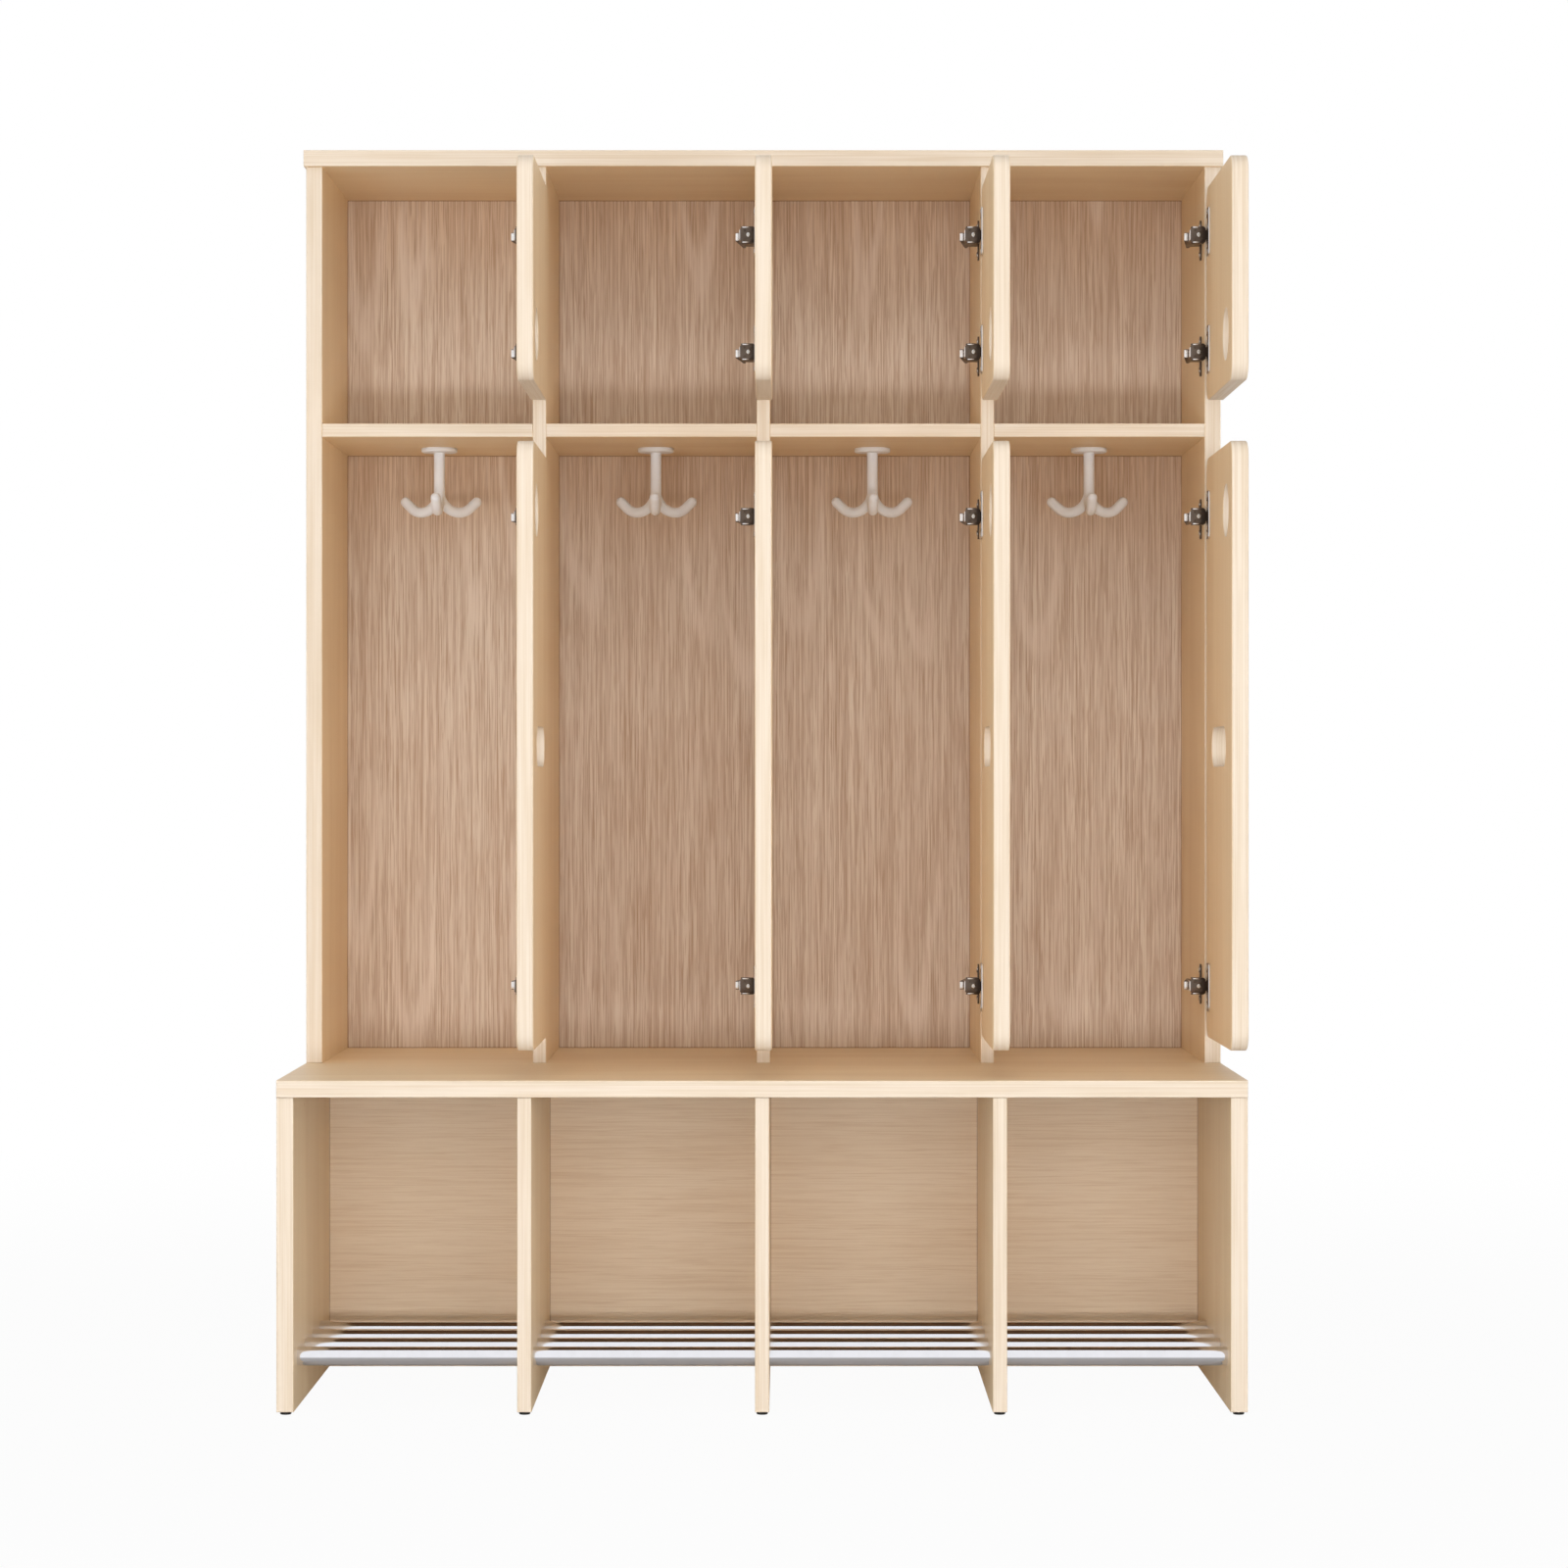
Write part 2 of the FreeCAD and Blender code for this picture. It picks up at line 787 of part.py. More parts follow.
def hook_arm():
    """One arm: out of the stem, round a bend and up to a round tip, in the +X direction."""
    radius = hook_arm_diameter / 2
    bottom = Vector(hook_inner_bend, 0, radius - hook_drop)
    inner_centre = bottom + Vector(0, 0, hook_inner_bend)
    outer_centre = bottom + Vector(0, 0, hook_outer_bend)
    start = on_circle(inner_centre, hook_inner_bend, -quarter_turn)
    inner_middle = on_circle(inner_centre, hook_inner_bend, -quarter_turn / 2)
    outer_middle = on_circle(outer_centre, hook_outer_bend, hook_tip_angle / 2)
    outer_end = on_circle(outer_centre, hook_outer_bend, hook_tip_angle)
    tip = on_circle(outer_end, hook_tip_length, hook_tip_angle + quarter_turn)
    edges = [
        Part.Arc(start, inner_middle, bottom).toShape(),
        Part.Arc(bottom, outer_middle, outer_end).toShape(),
        Part.LineSegment(outer_end, tip).toShape(),
    ]
    profile = Part.Wire(Part.makeCircle(radius, start, z_axis))
    tube = Part.Wire(edges).makePipeShell([profile], True, False)
    return tube.fuse(Part.makeSphere(radius, tip))


def coat_hook(bay):
    """A ceiling hook with a round flange, a stem and three arms, one of them forward."""
    flange = rod(hook_flange_diameter, hook_flange_thickness, Vector(0, 0, -hook_flange_thickness), z_axis)
    rim = edges_near(flange, 2, -hook_flange_thickness, hook_flange_radius / 2)
    flange = flange.makeFillet(hook_flange_radius, rim)
    stem_length = hook_drop - hook_inner_bend
    stem = rod(hook_stem_diameter, stem_length, Vector(0, 0, -stem_length), z_axis)
    ball = Part.makeSphere(hook_stem_diameter / 2, Vector(0, 0, -stem_length))
    hook = flange.fuse([stem, ball])
    one = hook_arm()
    for index in range(hook_arms):
        hook = hook.fuse(turned(one, z_axis, index * full_turn / hook_arms - quarter_turn))
    hole = screw_hole(hook_screw_length)
    for side in (-1, 1):
        hook = hook.cut(moved(hole, side * hook_screw_offset, 0, -hook_flange_thickness))
    x, y = hook_centre(bay)
    return moved(hook, x, y, shelf_bottom_z)


def hook_screws():
    """Two screws through every hook's flange into the shelf."""
    one = screw(hook_screw_length)
    pieces = []
    for bay in range(places):
        x, y = hook_centre(bay)
        z = shelf_bottom_z - hook_flange_thickness
        pieces += [moved(one, x + side * hook_screw_offset, y, z) for side in (-1, 1)]
    return pieces


def export(name, *solids):
    """Write one node."""
    shape = solids[0] if len(solids) == 1 else Part.makeCompound(list(solids))
    shape.exportStep("parts/" + name + ".step")


def main():
    os.makedirs("parts", exist_ok=True)
    export("left_side", upper_side(-1))
    export("right_side", upper_side(1))
    export("top_board", top())
    export("upper_back_panel", upper_back())
    export("bench_seat", bench())
    export("left_leg", leg(-1))
    export("right_leg", leg(1))
    for index in range(places - 1):
        export("upper_divider_" + str(index + 1), upper_divider(index))
        export("lower_divider_" + str(index + 1), lower_divider(index))
    for bay in range(places):
        number = str(bay + 1)
        export("shelf_" + number, shelf(bay))
        export("lower_back_" + number, lower_back(bay))
        export("coat_hook_" + number, coat_hook(bay))
    for index, y in enumerate(rod_places()):
        export("shoe_rod_" + str(index + 1), shoe_rod(y))
    export("feet", *feet())
    export("hook_screws", *hook_screws())
    export("lock_fittings", *lock_set(), *lock_pin_set())
    arm = hinge_arm()
    export("hinge_arms", *at_hinges(lambda wall_x: [arm]))
    export("hinge_plates", *at_hinges(lambda wall_x: [mounting_plate(wall_x)]))
    export("hinge_plate_screws", *at_hinges(plate_screws))
    export("hinge_adjusters", *at_hinges(adjusters))
    cup = hinge_cup()
    fixings = [pin_bar(pin_diameter, pin_length)] + cup_screws()
    for row in door_rows:
        for bay in range(places):
            name = row + "_" + str(bay + 1)
            export("door_" + name, door(row, bay))
            export("hinge_cups_" + name, *on_door(row, bay, [cup]))
            export("hinge_pins_screws_" + name, *on_door(row, bay, fixings))


main()
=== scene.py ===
import json
import math
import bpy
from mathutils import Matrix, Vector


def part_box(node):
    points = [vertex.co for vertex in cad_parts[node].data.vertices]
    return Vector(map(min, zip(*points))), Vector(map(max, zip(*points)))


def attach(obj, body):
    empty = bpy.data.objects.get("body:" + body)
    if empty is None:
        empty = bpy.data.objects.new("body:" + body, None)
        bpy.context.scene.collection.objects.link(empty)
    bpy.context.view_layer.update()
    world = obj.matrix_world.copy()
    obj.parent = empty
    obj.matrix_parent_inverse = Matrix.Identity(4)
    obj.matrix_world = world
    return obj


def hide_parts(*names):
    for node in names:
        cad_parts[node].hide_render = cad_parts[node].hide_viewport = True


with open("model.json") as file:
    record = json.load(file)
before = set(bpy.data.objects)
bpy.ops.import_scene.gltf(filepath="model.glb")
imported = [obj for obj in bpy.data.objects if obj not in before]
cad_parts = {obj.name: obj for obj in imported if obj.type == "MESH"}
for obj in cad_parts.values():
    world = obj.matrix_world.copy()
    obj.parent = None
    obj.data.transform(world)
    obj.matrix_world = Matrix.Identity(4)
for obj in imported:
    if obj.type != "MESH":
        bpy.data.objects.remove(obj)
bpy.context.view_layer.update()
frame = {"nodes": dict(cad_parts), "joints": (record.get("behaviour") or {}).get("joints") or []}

from types import SimpleNamespace

import bmesh
import bpy
from bpy.props import FloatProperty, FloatVectorProperty, IntProperty, PointerProperty
from mathutils import Matrix, Vector

bl_info = {
    "name": "Cloakroom unit",
    "version": (1, 0, 0),
    "blender": (4, 5, 0),
    "location": "3D View > Sidebar > Cloakroom",
    "description": "Dresses a four-place children's cloakroom unit: boards, doors, hinges, hooks, rods and feet",
    "category": "Object",
}

MM = 0.001
AXES = "XYZ"
ROWS = ("upper", "lower")
PLACES = 4
COLUMNS = range(1, PLACES + 1)

# Millimetres from a joint's middle to where its shadow is full, and to where it ends
JOINT = (0.2, 1.3)
CEILING_SHADE_REACH = 160  # how far the painted warm shade comes down below a shelf and the top board

# Screws: diameter and height of the head, shank, length below the head
SCREWS = {
    "neck": (5.4, 1.4, 3, 1),
    "adjusting": (7.5, 1.6, 4, 6),
    "plate": (6.4, 1.2, 3.5, 3),
    "wing": (6.6, 0.9, 3.5, 3),
}
NECK_SCREW_X = -18.5
ADJUSTER_OFFSET = 7  # from the plate's middle, to front and rear
ADJUSTER_SINK = 1.1  # how deep the heads sit in the roof of the arm
PLATE_SCREW_OFFSET = 16  # from the hinge's middle, up and down
PLATE_THICKNESS = 1.8
SHEET = 1.2  # sheet of the hinge arm
ROD_WALL = 1.5
ROD_BEVEL = 0.3
FOOT_RADIUS = 6.0
FOOT_HEIGHT = 3


def srgb(red, green, blue):
    """A screen colour, 0 to 255, as the linear colour that a shader takes."""
    def linear(value):
        share = value / 255
        return share / 12.92 if share <= 0.04045 else ((share + 0.055) / 1.055) ** 2.4
    return (linear(red), linear(green), linear(blue), 1.0)


def colour(name, description, value):
    """A colour that a user can change."""
    return FloatVectorProperty(name=name, description=description, subtype="COLOR", size=4, min=0, max=1,
                               default=value)


def length(name, description, value):
    """A length that a user can change, given in millimetres."""
    return FloatProperty(name=name, description=description, unit="LENGTH", default=value * MM, min=0)


def power(name, description, value):
    """The power of a lamp that a user can change, in watts."""
    return FloatProperty(name=name, description=description, subtype="POWER", default=value, min=0)


class CloakroomColours(bpy.types.PropertyGroup):
    """Colours of the unit."""
    edge: colour("Board edges", "Pale layered edges of the boards and doors", srgb(229, 214, 196))
    edge_line: colour("Edge lines", "Fine darker lines along the edges", srgb(211, 189, 160))
    face: colour("Board faces", "Smooth faces of the boards", srgb(243, 219, 183))
    face_grain: colour("Face grain", "Faint darker grain of the faces", srgb(225, 194, 154))
    # Painted shade: the bench's underside is darkened brown to stand in for the shade below the seat
    underside: colour("Bench underside", "Brown sealed underside of the bench", srgb(128, 101, 74))
    back: colour("Upper back", "Ground colour of the upper back panel", srgb(239, 226, 211))
    back_grain: colour("Upper back grain", "Dark grain of the upper back panel", srgb(183, 149, 121))
    # Painted shade: a warmer, darker tone under the shelves and the top board, standing in for shade and warm bounce
    # light
    back_warm: colour("Upper back top", "Warmer tone of the upper back under the shelves", srgb(205, 160, 112))
    back_figure: colour("Upper back figure", "Pale pinkish figure of the upper back panel", srgb(240, 224, 210))
    low_back: colour("Lower back", "Ground colour of the lower back panels", srgb(248, 228, 201))
    low_back_grain: colour("Lower back grain", "Level grain of the lower back panels", srgb(226, 198, 164))
    joint: colour("Joints", "Shadow in the joints round the back panels", srgb(150, 104, 66))
    plastic: colour("Hooks", "Moulded plastic of the coat hooks", srgb(244, 246, 251))
    nickel: colour("Hinge cups", "Bright nickel plating of the hinges", srgb(243, 240, 238))
    # Painted shade and painted dark reflection: the cups' nickel, darkened for the arms and plates
    links: colour("Hinge arms", "Dark nickel plating of the arms and plates", srgb(110, 97, 87))
    steel: colour("Screws", "Zinc plating of the screws", srgb(214, 212, 208))
    chrome: colour("Rods", "Chrome plating of the shoe rods", srgb(237, 237, 242))
    cap: colour("Locking barrels", "Cream caps over the locking barrels", srgb(240, 214, 180))
    rubber: colour("Feet", "Black plastic of the feet", srgb(26, 25, 25))
    floor: colour("Floor", "Floor and backdrop", (0.6, 0.6, 0.6, 1.0))


class CloakroomHinge(bpy.types.PropertyGroup):
    """Sizes of a concealed hinge."""
    cup_diameter: length("Cup", "Diameter of the cup", 35)
    cup_depth: length("Cup depth", "Depth of the cup below the door's face", 13.5)
    cup_wall: length("Cup wall", "Thickness of the cup's wall", 0.8)
    face_offset: length("Face offset", "From the hinge axis to the open door's inner face", 9.5)
    cup_offset: length("Cup offset", "From the hinge axis to the cup's centre", 14)
    wing_length: length("Wing length", "Height of the flange on the door", 54)
    wing_width: length("Wing width", "Width of the flange on the door", 22)
    wing_thickness: length("Wing thickness", "Thickness of the flange on the door", 2)
    screw_offset: length("Screw offset", "From the cup's centre up and down to its screws", 22)
    screw_setback: length("Screw setback", "From the cup's centre sideways to its screws", 10)
    pin_diameter: length("Pin", "Diameter of the hinge pin", 2.6)
    pin_length: length("Pin length", "Length of the hinge pin", 16)
    neck_reach: length("Neck reach", "From the hinge axis to the neck's far end", 28)
    neck_thickness: length("Neck thickness", "Thickness of the neck", 3)
    neck_height: length("Neck height", "Height of the neck's wide part", 19)
    riser_height: length("Riser height", "Height of the plate between neck and arm", 11.8)
    channel_height: length("Channel height", "Height of the arm's channel", 9.6)
    crest: length("Crest", "From the hinge axis to the front of the channel's roof", 33)
    fall: length("Fall", "How far the channel's roof comes down to its rear end", 8)
    channel_front: length("Channel front", "From the hinge axis back to the channel", 17)
    channel_rear: length("Channel rear", "From the hinge axis back to the channel's end", 73.5)
    plate_centre: length("Plate centre", "From the hinge axis back to the plate's middle", 46.5)


class CloakroomHook(bpy.types.PropertyGroup):
    """Sizes of a coat hook."""
    flange_diameter: length("Flange", "Diameter of the flange under the shelf", 41.5)
    flange_thickness: length("Flange thickness", "Thickness of the flange", 5)
    stem_diameter: length("Stem", "Diameter of the stem", 12.4)
    arm_diameter: length("Arm", "Diameter of an arm", 11.4)
    drop: length("Drop", "From the shelf to the lowest point", 79.4)
    inner_bend: length("Inner bend", "Radius of the bend below the stem", 25)
    outer_bend: length("Outer bend", "Radius of the bend below the tip", 22)
    tip_length: length("Tip", "Straight length before the round tip", 11)
    tip_angle: FloatProperty(name="Tip angle", description="Slope of the tip", subtype="ANGLE",
                             default=math.radians(42))
    arms: IntProperty(name="Arms", description="Number of arms", default=3, min=1)


class CloakroomStudio(bpy.types.PropertyGroup):
    """Camera and light."""
    lens: FloatProperty(name="Lens", description="Focal length in millimetres", default=89.145, min=1)
    camera: FloatVectorProperty(name="Camera", description="Place of the camera", subtype="TRANSLATION",
                                default=(0.0231, -4.358, 0.6666))
    sky: FloatProperty(name="Room light", description="Strength of the even light from all round", default=0.49, min=0)
    top: power("Top light", "Power of the lamp above", 42)
    low: power("Low light", "Power of the low lamp in front", 50)
    side: power("Side lights", "Power of the lamp on each side", 37)
    key: power("Front light", "Power of the large lamp in front", 38)


GROUPS = {
    "cloakroom_colours": CloakroomColours,
    "cloakroom_hinge": CloakroomHinge,
    "cloakroom_hook": CloakroomHook,
    "cloakroom_studio": CloakroomStudio,
}


def millimetres(name):
    """The lengths of a property group, in millimetres."""
    group = getattr(bpy.context.scene, name)
    keys = [item.identifier for item in group.bl_rna.properties if getattr(item, "unit", "") == "LENGTH"]
    return SimpleNamespace(**{key: getattr(group, key) / MM for key in keys})


# Node trees
def operator(operation, reflected=False):
    """A method that answers an operator with a Math node."""
    def method(self, other):
        return self.math(operation, *((other, self) if reflected else (self, other)))
    return method


class Socket:
    """An output of a node, with operators that add Math nodes."""

    def __init__(self, tree, socket):
        self.tree = tree
        self.socket = socket

    def math(self, operation, *values, **settings):
        """A Math node's result."""
        return self.tree.add("ShaderNodeMath", dict(operation=operation, **settings), *values)

    __add__, __radd__ = operator("ADD"), operator("ADD", True)
    __sub__, __rsub__ = operator("SUBTRACT"), operator("SUBTRACT", True)
    __mul__, __rmul__ = operator("MULTIPLY"), operator("MULTIPLY", True)
    __truediv__, __pow__ = operator("DIVIDE"), operator("POWER")

    def __abs__(self):
        return self.math("ABSOLUTE", self)

    def step(self, low, high):
        """0 below low and 1 above high, smooth between."""
        return self.tree.add("ShaderNodeMapRange", {"interpolation_type": "SMOOTHSTEP"}, self, low, high)


class Tree:
    """A node tree and the one method that adds nodes to it."""

    def __init__(self, tree):
        self.nodes = tree.nodes
        self.links = tree.links

    def add(self, kind, settings=None, *values, output=0, **named):
        """Add a node: its settings first, then its inputs in order or by name. Returns one of its outputs."""
        node = self.nodes.new(kind)
        for name, value in (settings or {}).items():
            setattr(node, name, value)
        for index, value in enumerate(values):
            self.feed(node.inputs[index], value)
        for name, value in named.items():
            self.feed(node.inputs[name.replace("_", " ")], value)
        return Socket(self, node.outputs[output]) if node.outputs else node

    def feed(self, target, value):
        """Link an output to an input, or set the input's own value."""
        if isinstance(value, Socket):
            self.links.new(value.socket, target)
        else:
            target.default_value = value

    def mix(self, share, first, second):
        """Blend two colours."""
        node = self.nodes.new("ShaderNodeMix")
        node.data_type = "RGBA"
        self.feed(node.inputs[0], share)
        self.feed(node.inputs[6], first)
        self.feed(node.inputs[7], second)
        return Socket(self, node.outputs[2])

    def place(self):
        """The point on the piece."""
        return self.add("ShaderNodeTexCoord", output="Object")

    def normal(self):
        """The three parts of the surface's direction on the piece."""
        return self.split(self.add("ShaderNodeTexCoord", output="Normal"))

    def split(self, vector):
        """The three parts of a vector."""
        first = self.add("ShaderNodeSeparateXYZ", None, vector)
        return [Socket(self, socket) for socket in first.socket.node.outputs]

    def noise(self, scale, detail=3.0, roughness=0.5, shift=(0.0, 0.0, 0.0), distortion=0.0):
        """Noise with its own scale along each axis, per metre."""
        vector = self.add("ShaderNodeMapping", None, self.place(), Location=shift, Scale=scale)
        return self.add("ShaderNodeTexNoise", None, Vector=vector, Scale=1.0, Detail=detail, Roughness=roughness,
                        Distortion=distortion)


def material(name, build, **fixed):
    """A material whose build function returns what varies on the shader."""
    made = bpy.data.materials.new(name)
    made.use_nodes = True
    made.node_tree.nodes.clear()
    tree = Tree(made.node_tree)
    shader = tree.nodes.new("ShaderNodeBsdfPrincipled")
    for socket, value in dict(fixed, **build(tree)).items():
        tree.feed(shader.inputs[socket.replace("_", " ")], value)
    tree.add("ShaderNodeOutputMaterial", None, Socket(tree, shader.outputs[0]))
    return made


def bump(tree, height, distance, strength=1.0):
    """A normal from a height pattern. The distance is in millimetres."""
    return tree.add("ShaderNodeBump", None, Strength=strength, Distance=distance * MM, Height=height)


def scales(rest, **along):
    """A scale for each axis: its own where one is given, and else the rest."""
    return tuple(along.get(axis, rest) for axis in AXES)


def board_material(name, stack, grain, seed, sealed=False):
    """Lacquered board: smooth faces across the stack axis and pale layered edges round them."""
    colours = bpy.context.scene.cloakroom_colours

    def build(tree):
        across = AXES.replace(stack, "").replace(grain, "")
        normal = tree.normal()
        face = abs(normal[AXES.index(stack)]).step(0.55, 0.9)
        shift = (seed, seed * 0.7, seed * 1.3)
        lines = tree.noise(scales(3.0, **{stack: 900.0}), 2.0, 0.6, shift).step(0.42, 0.62)
        bands = tree.noise(scales(7.0, **{stack: 260.0}), 2.0, 0.5, shift).step(0.35, 0.7)
        edge = tree.mix(lines * 0.35 + bands * 0.35, colours.edge, colours.edge_line)
        pores = scales(60.0, **{across: 420.0, grain: 5.0})
        grain_fine = tree.noise(pores, 3.0, 0.55, shift, 0.3).step(0.35, 0.75)
        clouds = scales(5.0, **{across: 16.0, grain: 1.6})
        cloud = tree.noise(clouds, 2.0, 0.5, shift, 0.6).step(0.3, 0.75)
        plain = tree.mix(grain_fine * 0.2 + cloud * 0.35, colours.face, colours.face_grain)
        # Painted shade: faces of the bench that look down take the darker underside colour
        if sealed:
            plain = tree.mix((0 - normal[2]).step(0.5, 0.9), plain, colours.underside)
        base = tree.mix(face, edge, plain)
        height = lines * (1 - face) * 0.6 + grain_fine * face
        rough = 0.42 + 0.1 * grain_fine + 0.1 * (1 - face)
        return {"Base Color": base, "Roughness": rough, "Normal": bump(tree, height, 0.03)}

    return material(name, build, Specular_IOR_Level=0.35)


def middle(node):
    """The middle of a CAD node's box."""
    return sum(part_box(node), Vector()) / 2


def front_faces(tree):
    """1 on faces that look to the front, and 0 on the others."""
    return (0 - tree.normal()[1]).step(0.5, 0.9)


def joint_shadow(tree, x, z, levels):
    """1 in the narrow painted shadow where a back panel's front meets uprights and level boards."""
    near, far = JOINT
    first, second = [middle("upper_divider_%d" % index).x for index in (1, 2)]
    low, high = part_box("upper_divider_1")
    pitch = second - first
    turn = (x - first) / pitch + 0.5
    column = abs(turn.math("FRACT", turn) - 0.5) * pitch
    total = 1 - abs(column - (high.x - low.x) / 2).step(near * MM, far * MM)
    for level in levels:
        total = total.math("MAXIMUM", total, 1 - abs(z - level).step(near * MM, far * MM))
    return total * front_faces(tree)


def upper_back_material(name, levels):
    """Open-pored veneer with upright grain, and pale pinkish figure in long tongues."""
    colours = bpy.context.scene.cloakroom_colours

    def build(tree):
        x, y, z = tree.split(tree.place())
        lines = tree.noise((430.0, 1.0, 5.0), 3.0, 0.62, (0.3, 0.0, 0.1), 0.2).step(0.42, 0.6)
        pores = tree.noise((780.0, 1.0, 17.0), 2.0, 0.6, (2.0, 0.0, 1.0), 0.1).step(0.5, 0.6)
        bands = tree.noise((90.0, 1.0, 2.0), 2.0, 0.5, (9.0, 0.0, 4.0), 0.5).step(0.35, 0.7)
        broad = tree.noise((5.0, 1.0, 0.8), 1.0, 0.5, (7.0, 0.0, 3.0), 0.5).step(0.3, 0.7)
        pale = tree.noise((600.0, 1.0, 8.0), 2.0, 0.6, (1.0, 0.0, 6.0), 0.1).step(0.52, 0.64)
        # Painted shade: the front face turns warmer and darker just below each shelf and the top board
        ceiling_shade = 0.0
        for level in levels[1::2]:
            below_shelf = (z - (level - CEILING_SHADE_REACH * MM)).step(0, CEILING_SHADE_REACH * MM)
            ceiling_shade = ceiling_shade + below_shelf * (1 - (z - level).step(0, 5 * MM))
        ceiling_shade = ceiling_shade * front_faces(tree)
        wander = tree.noise((7.0, 1.0, 2.4), 2.0, 0.5, (4.2, 0.0, 2.7))
        spot = tree.add("ShaderNodeCombineXYZ", None, x * 15 + wander * 1.3, z * 2.1 + wander * 0.4)
        cells = tree.add("ShaderNodeTexVoronoi", {"voronoi_dimensions": "2D"}, Vector=spot, Scale=1.0, Randomness=0.6)
        distance, tint, centre = [Socket(tree, socket) for socket in cells.socket.node.outputs[:3]]
        below = tree.split(spot)[1] - tree.split(centre)[1]
        tongue = (1 - abs(distance - 0.3).step(0.02, 0.11)) * (1 - below.step(-0.2, 0.25))
        tongue = tongue * tree.split(tint)[0].step(0.45, 0.55)
        ground = tree.mix(broad * 0.2 + bands * 0.15, colours.back, colours.back_grain)
        ground = tree.mix(ceiling_shade * 0.4, ground, colours.back_warm)
        ground = tree.mix(tongue * 0.62, ground, colours.back_figure)
        base = tree.mix(lines * (0.46 - tongue * 0.26), ground, colours.back_grain)
        base = tree.mix(pores * (0.56 - tongue * 0.28), base, colours.back_grain)
        base = tree.mix(pale * 0.42, base, colours.back_figure)
        # Painted shadow in the joints round the panel
        base = tree.mix(joint_shadow(tree, x, z, levels) * 0.8, base, colours.joint)
        height = 1 - (lines * 0.5 + pores)
        return {"Base Color": base, "Roughness": 0.5 + 0.12 * pores, "Normal": bump(tree, height, 0.05)}

    return material(name, build, Specular_IOR_Level=0.3)


def lower_back_material(name, levels):
    """Veneer with fine, level, slightly wavy grain."""
    colours = bpy.context.scene.cloakroom_colours

    def build(tree):
        x, y, z = tree.split(tree.place())
        lines = tree.noise((7.0, 1.0, 400.0), 3.0, 0.6, (0.0, 0.0, 0.0), 0.6).step(0.42, 0.66)
        strokes = tree.noise((20.0, 1.0, 720.0), 2.0, 0.6, (5.0, 0.0, 2.0), 0.3).step(0.5, 0.64)
        broad = tree.noise((2.6, 1.0, 17.0), 2.0, 0.5, (3.0, 0.0, 1.0), 1.0).step(0.3, 0.75)
        tone = lines * 0.38 + strokes * 0.22 + broad * 0.16
        base = tree.mix(tone, colours.low_back, colours.low_back_grain)
        # Painted shadow in the joints round the panels
        base = tree.mix(joint_shadow(tree, x, z, levels) * 0.6, base, colours.joint)
        return {"Base Color": base, "Roughness": 0.46 + 0.1 * lines, "Normal": bump(tree, lines, 0.03)}

    return material(name, build, Specular_IOR_Level=0.3)


def metal_material(name, base, rough, brush, wear, relief=0.3, shaded_sides=None):
    """Plated metal with faint brushing and a little unevenness, and painted shade in another colour on faces that look
    sideways.
    """
    def build(tree):
        fine = tree.noise(brush, 2.0, 0.6)
        broad = tree.noise((60.0, 60.0, 60.0), 2.0, 0.5).step(0.35, 0.7)
        dark = tuple(value * (1 - wear) for value in base[:3]) + (1.0,)
        tone = tree.mix(broad * 0.6 + fine * 0.3, base, dark)
        if shaded_sides:
            # Painted shade on faces that look sideways
            tone = tree.mix(abs(tree.normal()[0]).step(0.7, 0.95), tone, shaded_sides)
        varied = {"Base Color": tone, "Roughness": rough + 0.06 * fine + 0.04 * broad}
        if relief:
            varied["Normal"] = bump(tree, fine, 0.01, relief)
        return varied

    return material(name, build, Metallic=1.0)


def plastic_material(name, base, rough, grain):
    """Moulded plastic with a fine spark-eroded grain."""
    def build(tree):
        grains = tree.noise((grain, grain, grain), 2.0, 0.6)
        broad = tree.noise((25.0, 25.0, 25.0), 2.0, 0.5).step(0.3, 0.7)
        dark = tuple(value * 0.93 for value in base[:3]) + (1.0,)
        tone = tree.mix(broad * 0.5, base, dark)
        return {"Base Color": tone, "Roughness": rough + 0.08 * grains, "Normal": bump(tree, grains, 0.02, 0.6)}

    return material(name, build, Specular_IOR_Level=0.4)


# Mesh making
ORDERS = {"X": (2, 0, 1), "Y": (0, 2, 1), "Z": (0, 1, 2)}


def spot_along(axis, first, second, level):
    """A point given in millimetres, its level measured along an axis."""
    values = (first, second, level)
    return Vector(values[index] for index in ORDERS[axis]) * MM


def new_object(name, mesh):
    """Link a mesh to the scene as an object."""
    made = bpy.data.objects.new(name, mesh)
    bpy.context.scene.collection.objects.link(made)
    return made


def bake_mesh(source):
    """The evaluated mesh of an object, as a mesh of its own; the object goes."""
    graph = bpy.context.evaluated_depsgraph_get()
    mesh = bpy.data.meshes.new_from_object(source.evaluated_get(graph), depsgraph=graph)
    bpy.data.objects.remove(source)
    return mesh


def mesh_of(shell):
    """A bmesh as a mesh."""
    bmesh.ops.recalc_face_normals(shell, faces=shell.faces)
    mesh = bpy.data.meshes.new("shell")
    shell.to_mesh(mesh)
    shell.free()
    return mesh


def merged(meshes, name="merged"):
    """Several meshes as one."""
    shell = bmesh.new()
    for mesh in meshes:
        shell.from_mesh(mesh)
    made = bpy.data.meshes.new(name)
    shell.to_mesh(made)
    shell.free()
    return made


